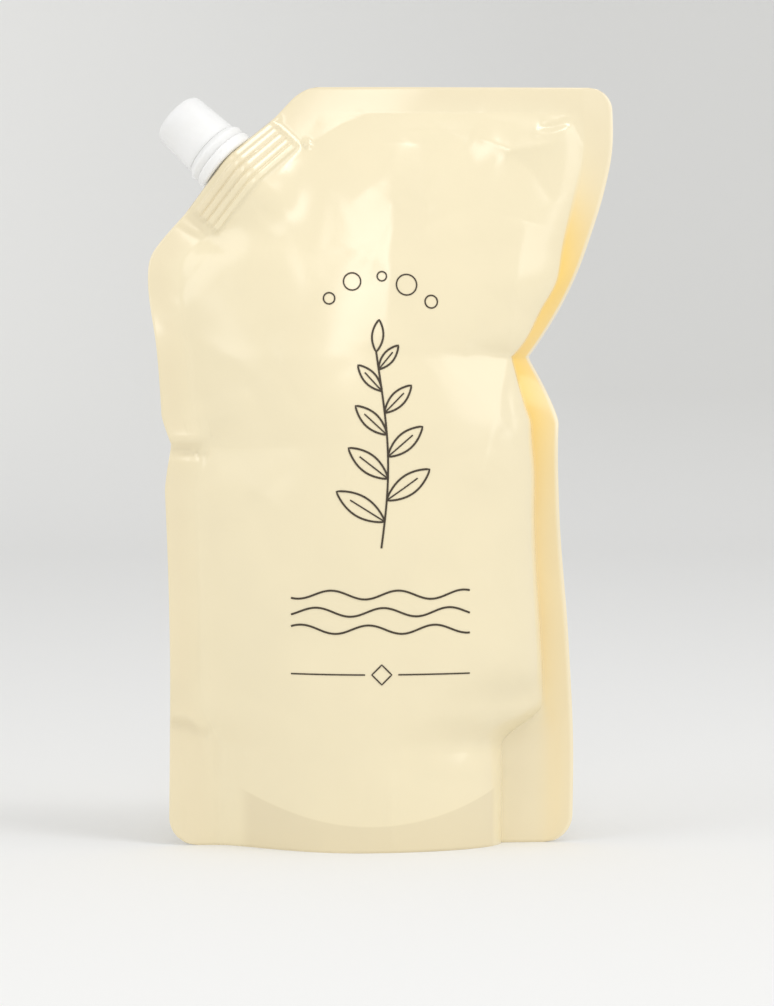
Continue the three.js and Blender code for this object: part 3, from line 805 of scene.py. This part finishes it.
def leaf_points(root, direction, length, width, count=25):
    """Both edges of a pointed leaf, from its root to its tip and back."""
    share = np.linspace(0, 1, count)
    bow = width / 2 * np.sin(pi * share) ** 0.8
    there = np.stack([share * length, bow], -1)
    again = np.stack([share * length, -bow], -1)[::-1]
    outline = np.concatenate([there, again[1:]])
    angle = radians(direction)
    turn = np.array([[cos(angle), sin(angle)], [-sin(angle), cos(angle)]])
    return np.array(root) + outline @ turn


def stem_sway(height):
    return STEM_SWAY * np.sin((height - STEM_FOOT) / STEM_WAVE)


def printed_lines():
    """Each line of the design as its points (x, z) from the middle of the print, and its width."""
    stem_z = np.linspace(STEM_FOOT, STEM_TOP, 40)
    lines = [(np.stack([stem_sway(stem_z), stem_z], -1), INK_LINE)]
    for number in range(LEAF_COUNT):
        height = STEM_FOOT + LEAF_START + number * LEAF_PITCH
        root = np.array([stem_sway(height), height])
        side = 1 if number % 2 else -1
        length = LEAF_LENGTH - LEAF_SHRINK * number
        direction = 90 - side * (LEAF_LEAN - LEAF_RISE * number)
        leaf = leaf_points(root, direction, length, LEAF_SLENDER * length)
        lines.append((leaf, INK_LINE))
        tip = leaf[len(leaf) // 2]
        lines.append((np.linspace(root, mix(root, tip, VEIN_SHARE), 12), INK_FINE))
    lines.append((leaf_points((stem_sway(STEM_TOP), STEM_TOP), **BUD), INK_LINE))
    for x, z, radius in BUBBLES:
        lines.append((circle_points((x, z), radius), INK_FINE))
    ripple_x = np.linspace(-RIPPLE_HALF, RIPPLE_HALF, 109)
    for number in range(RIPPLE_COUNT):
        rise = RIPPLE_RISE * np.sin(ripple_x / RIPPLE_WAVE + RIPPLE_SHIFT * number)
        lines.append((np.stack([ripple_x, RIPPLE_TOP - RIPPLE_PITCH * number + rise], -1), INK_LINE))
    for start, end in ((-RIPPLE_HALF, -RULE_GAP), (RULE_GAP, RIPPLE_HALF)):
        lines.append((np.linspace((start, RULE_HEIGHT), (end, RULE_HEIGHT), 23), INK_FINE))
    turns = np.array([(0, -1), (1, 0), (0, 1), (-1, 0), (0, -1)]) * DIAMOND_HALF + (0, RULE_HEIGHT)
    sides = [np.linspace(a, b, 7)[:-1] for a, b in zip(turns, turns[1:])]
    lines.append((np.concatenate(sides + [turns[-1:]]), INK_FINE))
    return lines


def ink_ribbon(points, width):
    """A flat ribbon along the points, laid on the front of the film."""
    step = np.gradient(points, axis=0)
    closed = np.allclose(points[0], points[-1])
    if closed:
        step[0] = step[-1] = points[1] - points[-2]
    normal = np.stack([-step[:, 1], step[:, 0]], -1) / np.hypot(step[:, 0], step[:, 1])[:, None]
    grid, column, row = flat_grid("ink", len(points), 2)
    flat = points[column] + normal[column] * width * (row - 0.5)[:, None]
    places = panel_points(flat[:, 0] + PRINT_X, flat[:, 1], FRONT, np.ones(len(column)))
    places[:, 1] -= INK_LIFT
    set_places(grid, places)
    return grid


def front_print():
    ink = join("front_print", *[ink_ribbon(*line) for line in printed_lines()])
    select_only(ink)
    bpy.ops.object.mode_set(mode="EDIT")
    bpy.ops.mesh.select_all(action="SELECT")
    bpy.ops.mesh.remove_doubles(threshold=MERGE * MM)
    bpy.ops.object.mode_set(mode="OBJECT")
    towards_camera = sum(face.normal.y * face.area for face in ink.data.polygons)
    if towards_camera > 0:
        ink.data.flip_normals()
    apply_modifier(ink, "SOLIDIFY", thickness=INK_THICKNESS * MM, offset=1)
    smooth_shade(ink, 40)
    return ink


# Spout, band and cap, turned about the spout's axis
AXIS = 0.002
BREAK_GAP = 0.03
SPOUT_ROUND = 0.3
CLOSURE_ROUND = 0.15
CROWN_RINGS = (4.5, 3, 1.5)
collar_top = COLLAR_LIFT + COLLAR_HEIGHT
band_bottom = collar_top + CLEARANCE
band_top = band_bottom + BAND_HEIGHT
cap_bottom = band_top + CLEARANCE
cap_top = cap_bottom + CAP_HEIGHT
neck = NECK_DIAMETER / 2
thread_crest = neck + THREAD_PROUD
cap_bore = thread_crest + THREAD_CLEARANCE
seat = cap_bore
mouth = cap_top - CAP_CROWN - CAP_TOP_THICKNESS - MOUTH_GAP
thread_start = mouth - THREAD_BELOW_MOUTH - THREAD_LEAD * THREAD_TURNS
bead_middle = band_top - BEAD_DROP
bead_bottom = bead_middle - BEAD_HEIGHT / 2


def turned(name, profile):
    """A circle drawn out ring by ring along a profile of (radius, height) points, and closed."""
    deselect_all()
    radius, height = profile[0]
    bpy.ops.mesh.primitive_circle_add(vertices=ROUND_STEPS, radius=radius * MM)
    piece = bpy.context.object
    piece.name = name
    bpy.ops.object.mode_set(mode="EDIT")
    bpy.ops.mesh.select_all(action="SELECT")
    bpy.ops.transform.translate(value=(0, 0, height * MM))
    for (last_radius, last_height), (radius, height) in zip(profile, profile[1:]):
        bpy.ops.mesh.extrude_edges_move(TRANSFORM_OT_translate={"value": (0, 0, (height - last_height) * MM)})
        grow = radius / last_radius
        bpy.ops.transform.resize(value=(grow, grow, 1), center_override=(0, 0, height * MM))
    bpy.ops.object.mode_set(mode="OBJECT")
    close_mesh(piece)
    return piece


def rounded(start, corner, end, radius, count=6):
    """Points of a small round between two straight stretches of a profile, in place of their corner."""
    start, corner, end = (np.array(point, float) for point in (start, corner, end))
    share = np.linspace(0, 1, count)[:, None]
    first = corner + (start - corner) * radius / np.linalg.norm(start - corner)
    last = corner + (end - corner) * radius / np.linalg.norm(end - corner)
    curve = first * (1 - share) ** 2 + 2 * corner * share * (1 - share) + last * share ** 2
    return [tuple(point) for point in curve]


def soft_profile(profile, radius, closed=True):
    """The profile with each of its corners rounded a little, as a mould leaves them."""
    points = profile[:-1] if closed else profile
    softened = [] if closed else [profile[0]]
    around = range(len(points)) if closed else range(1, len(points) - 1)
    for number in around:
        before, corner, after = points[number - 1], points[number], points[(number + 1) % len(points)]
        room = min(np.hypot(corner[0] - side[0], corner[1] - side[1]) for side in (before, after)) * 0.45
        softened += rounded(before, corner, after, min(radius, room))
    return softened + [softened[0] if closed else profile[-1]]


def thread(name, base, crest, start):
    """A helical ridge, screwed out of its section and closed at both ends."""
    deselect_all()
    bpy.ops.mesh.primitive_plane_add(size=1)
    piece = bpy.context.object
    piece.name = name
    section = [(base, -THREAD_BASE), (crest, -THREAD_CREST), (base, THREAD_BASE), (crest, THREAD_CREST)]
    set_places(piece, [(radius, 0, start + width / 2) for radius, width in section])
    select_only(piece)
    bpy.ops.object.mode_set(mode="EDIT")
    bpy.ops.mesh.select_all(action="SELECT")
    bpy.ops.mesh.delete(type="ONLY_FACE")
    bpy.ops.object.mode_set(mode="OBJECT")
    steps = int(ROUND_STEPS * THREAD_TURNS)
    apply_modifier(
        piece, "SCREW", axis="Z", angle=2 * pi * THREAD_TURNS, screw_offset=THREAD_LEAD * THREAD_TURNS * MM,
        steps=steps, render_steps=steps, use_smooth_shade=False)
    select_only(piece)
    bpy.ops.object.mode_set(mode="EDIT")
    bpy.ops.mesh.select_all(action="SELECT")
    bpy.ops.mesh.fill_holes(sides=4)
    bpy.ops.mesh.normals_make_consistent(inside=False)
    bpy.ops.object.mode_set(mode="OBJECT")
    return piece


def boolean(piece, other, operation):
    apply_modifier(piece, "BOOLEAN", object=other, operation=operation, solver="EXACT")
    bpy.data.objects.remove(other)


def boat_outline(count):
    """Points round the spout's boat-shaped base, evenly spaced by their turn about its axis."""
    length = canoe_half / sin(canoe_taper)
    points = []
    for angle in np.linspace(0, 2 * pi, count, endpoint=False):
        flat = abs(cos(angle)) * sin(canoe_taper) + abs(sin(angle)) * cos(canoe_taper)
        reach = canoe_half if abs(sin(angle)) > cos(canoe_taper) else length * sin(canoe_taper) / flat
        points.append((reach * cos(angle), reach * sin(angle)))
    return np.array(points)


def canoe():
    """The ribbed base: a ring drawn out level by level, wider at each rib."""
    margin = (CANOE_DEPTH - (RIB_COUNT - 1) * RIB_PITCH) / 2
    rib = (canoe_half + RIB_PROUD) / canoe_half
    levels = [(-CANOE_DEPTH, 1)]
    for number in reversed(range(RIB_COUNT)):
        middle = -margin - number * RIB_PITCH
        low, high = middle - RIB_THICKNESS / 2, middle + RIB_THICKNESS / 2
        levels += [(low, 1), (low + RIB_PROUD / 2, rib), (high - RIB_PROUD / 2, rib), (high, 1)]
    levels.append((-CLEARANCE, 1))
    deselect_all()
    bpy.ops.mesh.primitive_circle_add(vertices=ROUND_STEPS, radius=MM, fill_type="NGON")
    piece = bpy.context.object
    outline = boat_outline(ROUND_STEPS)
    set_places(piece, np.column_stack([outline, np.full(ROUND_STEPS, levels[0][0])]))
    select_only(piece)
    bpy.ops.object.mode_set(mode="EDIT")
    bpy.ops.mesh.select_all(action="SELECT")
    for (last_level, last_grow), (level, grow) in zip(levels, levels[1:]):
        bpy.ops.mesh.extrude_region_move(TRANSFORM_OT_translate={"value": (0, 0, (level - last_level) * MM)})
        share = grow / last_grow
        bpy.ops.transform.resize(value=(share, share, 1), center_override=(0, 0, level * MM))
    bpy.ops.mesh.select_all(action="SELECT")
    bpy.ops.mesh.normals_make_consistent(inside=False)
    bpy.ops.object.mode_set(mode="OBJECT")
    return piece


def put_on_pouch(piece, degrees):
    piece.data.transform(spout_turn)
    smooth_shade(piece, degrees)
    return piece


def moulded_spout():
    collar = COLLAR_DIAMETER / 2
    bore = BORE_DIAMETER / 2
    profile = [
        (bore, -CANOE_DEPTH / 2),
        (canoe_half - CLEARANCE, -CANOE_DEPTH / 2),
        (canoe_half - CLEARANCE, COLLAR_SEAT),
        (collar - COLLAR_CHAMFER, COLLAR_SEAT),
        (collar, COLLAR_SEAT + COLLAR_CHAMFER),
        (collar, collar_top - COLLAR_CHAMFER),
        (collar - COLLAR_CHAMFER, collar_top),
        (seat, collar_top),
        (seat, bead_bottom),
        (seat + BEAD_PROUD, bead_middle),
        (seat, bead_middle + BEAD_HEIGHT / 2),
        (seat, band_top),
        (neck, cap_bottom + SHOULDER),
        (neck, mouth - MOUTH_CHAMFER),
        (neck - MOUTH_CHAMFER, mouth),
        (bore, mouth),
        (bore, -CANOE_DEPTH / 2),
    ]
    spout = turned("moulded_spout", soft_profile(profile, SPOUT_ROUND))
    base = canoe()
    below = -2 * CANOE_DEPTH
    hole = turned("bore", [(AXIS, below), (bore, below), (bore, cap_top), (AXIS, cap_top)])
    boolean(base, hole, "DIFFERENCE")
    boolean(spout, base, "UNION")
    boolean(spout, thread("neck_thread", neck - THREAD_BURY, thread_crest, thread_start), "UNION")
    return put_on_pouch(spout, 35)


def moulded_band():
    over_bead = seat + BEAD_PROUD + CLEARANCE
    lip = seat + CLEARANCE
    under_bead = bead_bottom - CLEARANCE
    flare = BAND_FLARE / 2
    profile = [
        (lip, collar_top + BREAK_GAP),
        (flare - BAND_UNDERCUT, collar_top + BREAK_GAP),
        (flare, band_bottom + BAND_BEVEL),
        (flare, band_bottom + BAND_BEVEL + BAND_RIM),
        (CAP_BASE_DIAMETER / 2, band_top),
        (over_bead, band_top),
        (over_bead, under_bead),
        (lip, under_bead - BEAD_PROUD),
        (lip, collar_top + BREAK_GAP),
    ]
    return put_on_pouch(turned("moulded_band", soft_profile(profile, CLOSURE_ROUND)), 40)


def moulded_cap():
    base = CAP_BASE_DIAMETER / 2
    top = CAP_TOP_DIAMETER / 2
    shoulder = cap_top - CAP_CROWN
    ceiling = mouth + MOUTH_GAP
    edge = [
        (top - CAP_EDGE_RADIUS * (1 - cos(angle)), shoulder - CAP_EDGE_RADIUS * (1 - sin(angle)))
        for angle in np.linspace(0, pi / 2, 13)
    ]
    crown = [(radius, cap_top - CAP_CROWN * (radius / edge[-1][0]) ** 2) for radius in (*CROWN_RINGS, AXIS)]
    inside = [
        (AXIS, ceiling),
        (cap_bore - CAP_INNER_CHAMFER, ceiling),
        (cap_bore, ceiling - CAP_INNER_CHAMFER),
        (cap_bore, band_top + BREAK_GAP),
        (base, band_top + BREAK_GAP),
        (base, cap_bottom + CAP_SKIRT),
    ]
    lower = soft_profile(inside + edge[:1], CLOSURE_ROUND, closed=False)
    cap = turned("moulded_cap", lower + edge[1:] + crown)
    inner = thread("cap_thread", cap_bore + THREAD_BURY, neck + CLEARANCE, thread_start + THREAD_LEAD / 2)
    boolean(cap, inner, "UNION")
    return put_on_pouch(cap, 40)


# Materials

def linear(hex_colour):
    """Linear colour of an sRGB hex value."""
    parts = [int(hex_colour[i:i + 2], 16) / 255 for i in (1, 3, 5)]
    return [part / 12.92 if part <= 0.04045 else ((part + 0.055) / 1.055) ** 2.4 for part in parts] + [1]


def add_node(tree, kind, inputs=None, **settings):
    """Adds a node. An input is a value, or an output socket to link from."""
    made = tree.nodes.new(kind)
    for name, value in settings.items():
        setattr(made, name, value)
    for name, value in (inputs or {}).items():
        if isinstance(value, bpy.types.NodeSocket):
            tree.links.new(value, made.inputs[name])
        else:
            made.inputs[name].default_value = value
    return made


def new_material(name):
    """An empty material, its node tree and its shader."""
    material = bpy.data.materials.new(name)
    material.use_nodes = True
    return material, material.node_tree, material.node_tree.nodes["Principled BSDF"]


def pattern_scale(size_mm):
    """Scale of a texture node, in metres, for marks of that size."""
    return 1 / (size_mm * MM)


# Cream laminate film, gravure printed and lacquered: satin, with a clear coat that glints on its folds.
# The welds are two films pressed into one, so they look a little deeper in colour. The right seal is also
# painted a deep yellow for the shade it stands in and the light glowing through it, with a painted
# highlight along its outer edge.
FILM_CREAM = "#F3E6C2"
FILM_SKIRT = "#EADCB8"
FILM_SEAL = "#EFE1BD"
# Deep yellow painted on the right seal as its shade and the light glowing through the film
FILM_PAINTED_SHADE_GLOW = "#FFD66E"
# Lighter colour painted along the right seal's outer edge as a highlight
FILM_RIM_HIGHLIGHT = "#F6E8C6"


def laminate_film():
    material, tree, shader = new_material("laminate_film_lacquered")
    links = tree.links
    place = add_node(tree, "ShaderNodeTexCoord").outputs["Object"]

    def share(attribute, low, high):
        source = add_node(tree, "ShaderNodeAttribute", attribute_name=attribute, attribute_type="GEOMETRY")
        ranged = add_node(
            tree, "ShaderNodeMapRange", {"Value": source.outputs["Fac"], "From Min": low, "From Max": high},
            interpolation_type="SMOOTHSTEP")
        return ranged.outputs["Result"]

    def blend(colour, other, factor):
        made = add_node(tree, "ShaderNodeMix", {0: factor, 6: colour, 7: linear(other)}, data_type="RGBA")
        return made.outputs[2]

    colour = blend(linear(FILM_CREAM), FILM_SEAL, share("fill_edge", 2, -6))
    skirt = add_node(
        tree, "ShaderNodeMath", {0: share("skirt_edge", -0.4, 0.4), 1: share("skirt_depth", 0, 1)},
        operation="MULTIPLY")
    colour = blend(colour, FILM_SKIRT, skirt.outputs["Value"])
    # Painted shade and glow on the right seal
    colour = blend(colour, FILM_PAINTED_SHADE_GLOW, share("right_seal_painted_shade", 0, 1))
    # Painted highlight: a lighter rim along the right seal's outer edge
    colour = blend(colour, FILM_RIM_HIGHLIGHT, share("rim_highlight_edge", 1.6, 0.4))
    clouds = add_node(tree, "ShaderNodeTexNoise", {"Vector": place, "Scale": pattern_scale(30), "Detail": 2})
    cloudy = add_node(
        tree, "ShaderNodeMapRange",
        {"Value": clouds.outputs["Fac"], "From Min": 0.3, "From Max": 0.7, "To Min": 0.975, "To Max": 1.015})
    tone = add_node(tree, "ShaderNodeHueSaturation", {"Color": colour, "Value": cloudy.outputs["Result"]})
    links.new(tone.outputs["Color"], shader.inputs["Base Color"])

    haze = add_node(tree, "ShaderNodeTexNoise", {"Vector": place, "Scale": pattern_scale(9), "Detail": 3})
    rough = add_node(
        tree, "ShaderNodeMapRange", {"Value": haze.outputs["Fac"], "To Min": 0.17, "To Max": 0.29})
    links.new(rough.outputs["Result"], shader.inputs["Roughness"])

    # Film grain is about 0.2 mm and too fine to show, so it is drawn at 0.7 mm.
    grain = add_node(tree, "ShaderNodeTexNoise", {"Vector": place, "Scale": pattern_scale(0.7), "Detail": 2})
    fine = add_node(
        tree, "ShaderNodeBump", {"Height": grain.outputs["Fac"], "Strength": 0.05, "Distance": 0.1 * MM})
    cockle = add_node(tree, "ShaderNodeTexNoise", {"Vector": place, "Scale": pattern_scale(14), "Detail": 2})
    bump = add_node(
        tree, "ShaderNodeBump",
        {"Height": cockle.outputs["Fac"], "Strength": 0.25, "Distance": 0.6 * MM,
         "Normal": fine.outputs["Normal"]})
    links.new(bump.outputs["Normal"], shader.inputs["Normal"])
    shader.inputs["IOR"].default_value = 1.5
    shader.inputs["Coat Weight"].default_value = 0.8
    shader.inputs["Coat Roughness"].default_value = 0.18
    return material


# White polypropylene, injection moulded: soft satin gloss, with the faint ripple that a mould leaves.
def moulded_polypropylene(name, hex_colour):
    material, tree, shader = new_material(name)
    place = add_node(tree, "ShaderNodeTexCoord").outputs["Object"]
    clouds = add_node(tree, "ShaderNodeTexNoise", {"Vector": place, "Scale": pattern_scale(6), "Detail": 2})
    tone = add_node(
        tree, "ShaderNodeMix",
        {0: clouds.outputs["Fac"], 6: linear(hex_colour), 7: linear("#F4F3F0")}, data_type="RGBA")
    tree.links.new(tone.outputs[2], shader.inputs["Base Color"])
    rough = add_node(
        tree, "ShaderNodeMapRange", {"Value": clouds.outputs["Fac"], "To Min": 0.34, "To Max": 0.46})
    tree.links.new(rough.outputs["Result"], shader.inputs["Roughness"])
    grit = add_node(tree, "ShaderNodeTexNoise", {"Vector": place, "Scale": pattern_scale(0.5), "Detail": 2})
    bump = add_node(
        tree, "ShaderNodeBump", {"Height": grit.outputs["Fac"], "Strength": 0.06, "Distance": 0.05 * MM})
    tree.links.new(bump.outputs["Normal"], shader.inputs["Normal"])
    shader.inputs["Subsurface Weight"].default_value = 0.5
    shader.inputs["Subsurface Radius"].default_value = (1, 1, 1)
    shader.inputs["Subsurface Scale"].default_value = 2 * MM
    shader.inputs["IOR"].default_value = 1.49
    return material


# Dark brown gravure ink: thin and even, a little dull, with faint specks where the film shows through.
def printing_ink():
    material, tree, shader = new_material("gravure_ink_brown")
    place = add_node(tree, "ShaderNodeTexCoord").outputs["Object"]
    specks = add_node(tree, "ShaderNodeTexNoise", {"Vector": place, "Scale": pattern_scale(0.5), "Detail": 2})
    tone = add_node(
        tree, "ShaderNodeMix", {0: specks.outputs["Fac"], 6: linear("#33291A"), 7: linear("#4A3E2A")},
        data_type="RGBA")
    tree.links.new(tone.outputs[2], shader.inputs["Base Color"])
    rough = add_node(
        tree, "ShaderNodeMapRange", {"Value": specks.outputs["Fac"], "To Min": 0.4, "To Max": 0.55})
    tree.links.new(rough.outputs["Result"], shader.inputs["Roughness"])
    return material


def dress(piece, material, body, node=None):
    piece.data.materials.clear()
    piece.data.materials.append(material)
    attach(piece, body)
    if node:
        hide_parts(node)


# Studio, in metres: a pale sweep with its wall behind every view, four soft lamps, an even room, and the
# camera at the angle and distance of the photograph
SWEEP_SIZE = 6.2
SWEEP_MIDDLE = -0.8
WALL_HEIGHT = 3
WALL_ROUND = 0.7
ROOM_LIGHT = 0.75
LAMP_AIM = (0, 0, 0.11)
# Place, width and height, and watts of each lamp
LAMPS = {
    "strip": ((-0.1, -1.33, 1.05), (0.34, 0.62), 1.8),
    "key": ((0.5, -0.55, 1.61), (0.4, 0.4), 3),
    "left": ((-1.35, -0.75, 1.0), (1.2, 1.2), 4.5),
    "right": ((1.35, -0.75, 1.0), (1.2, 1.2), 5.2),
}
CAMERA_PLACE = (-0.08879, -1.2955, 0.16357)
CAMERA_AIM = (0.0018, 0, 0.1046)
CAMERA_LENS = 152.1
CAMERA_SENSOR = 36


def studio_paper():
    material, tree, shader = new_material("studio_paper")
    place = add_node(tree, "ShaderNodeTexCoord").outputs["Object"]
    parts = add_node(tree, "ShaderNodeSeparateXYZ", {"Vector": place})
    # Painted shade: the paper turns from the floor's tone to the wall's, and the wall is painted darker
    # towards the right
    height = add_node(
        tree, "ShaderNodeMapRange", {"Value": parts.outputs["Z"], "From Min": 0.0, "From Max": 0.1})
    across = add_node(
        tree, "ShaderNodeMapRange", {"Value": parts.outputs["X"], "From Min": -0.15, "From Max": 0.3})
    wall = add_node(
        tree, "ShaderNodeMix",
        {0: across.outputs["Result"], 6: linear("#F4F4F2"), 7: linear("#E6E6E4")}, data_type="RGBA")
    tone = add_node(
        tree, "ShaderNodeMix",
        {0: height.outputs["Result"], 6: linear("#F1F1F0"), 7: wall.outputs[2]}, data_type="RGBA")
    tree.links.new(tone.outputs[2], shader.inputs["Base Color"])
    shader.inputs["Roughness"].default_value = 0.9
    shader.inputs["Specular IOR Level"].default_value = 0.1
    return material


def sweep():
    """Floor and wall in one sheet, with a wide round between them."""
    deselect_all()
    bpy.ops.mesh.primitive_plane_add(size=SWEEP_SIZE, location=(0, SWEEP_MIDDLE, 0))
    paper = bpy.context.object
    paper.name = "sweep"
    bpy.ops.object.transform_apply(location=True)
    near_wall = max(point.co.y for point in paper.data.vertices) - 0.01
    bpy.ops.object.mode_set(mode="EDIT")
    bpy.ops.mesh.select_mode(type="EDGE")
    bpy.ops.mesh.select_all(action="DESELECT")
    bpy.ops.object.mode_set(mode="OBJECT")
    for edge in paper.data.edges:
        edge.select = all(paper.data.vertices[i].co.y > near_wall for i in edge.vertices)
    bpy.ops.object.mode_set(mode="EDIT")
    bpy.ops.mesh.extrude_edges_move(TRANSFORM_OT_translate={"value": (0, 0, WALL_HEIGHT)})
    bpy.ops.mesh.select_all(action="DESELECT")
    bpy.ops.object.mode_set(mode="OBJECT")
    for edge in paper.data.edges:
        ends = [paper.data.vertices[i].co for i in edge.vertices]
        edge.select = all(end.y > near_wall and end.z < 0.01 for end in ends)
    bpy.ops.object.mode_set(mode="EDIT")
    bpy.ops.mesh.bevel(offset=WALL_ROUND, segments=24, affect="EDGES")
    bpy.ops.object.mode_set(mode="OBJECT")
    smooth_shade(paper, 60)
    paper.data.materials.append(studio_paper())


def aim_at(piece, place, aim):
    piece.location = place
    piece.rotation_euler = (Vector(aim) - Vector(place)).to_track_quat("-Z", "Y").to_euler()
    bpy.context.scene.collection.objects.link(piece)


def lamp(name, place, size, power):
    light = bpy.data.lights.new(name, "AREA")
    light.shape = "RECTANGLE"
    light.size, light.size_y = size
    light.energy = power
    aim_at(bpy.data.objects.new(name, light), place, LAMP_AIM)


def studio():
    scene = bpy.context.scene
    scene.view_settings.view_transform = "Standard"
    world = bpy.data.worlds.new("studio")
    world.use_nodes = True
    background = world.node_tree.nodes["Background"]
    background.inputs["Color"].default_value = (1, 1, 1, 1)
    background.inputs["Strength"].default_value = ROOM_LIGHT
    scene.world = world
    for name, settings in LAMPS.items():
        lamp(name, *settings)
    sweep()


def camera():
    view = bpy.data.cameras.new("camera")
    view.sensor_width = CAMERA_SENSOR
    view.lens = CAMERA_LENS
    view_object = bpy.data.objects.new("camera", view)
    aim_at(view_object, CAMERA_PLACE, CAMERA_AIM)
    bpy.context.scene.camera = view_object


white = moulded_polypropylene("polypropylene_moulded_white", "#FAFAF8")
dress(film_pouch(), laminate_film(), "pack", "pouch")
dress(front_print(), printing_ink(), "pack")
dress(moulded_spout(), white, "pack", "spout")
dress(moulded_band(), white, "band", "tamper_band")
dress(moulded_cap(), white, "cap", "cap")
studio()
camera()
deselect_all()
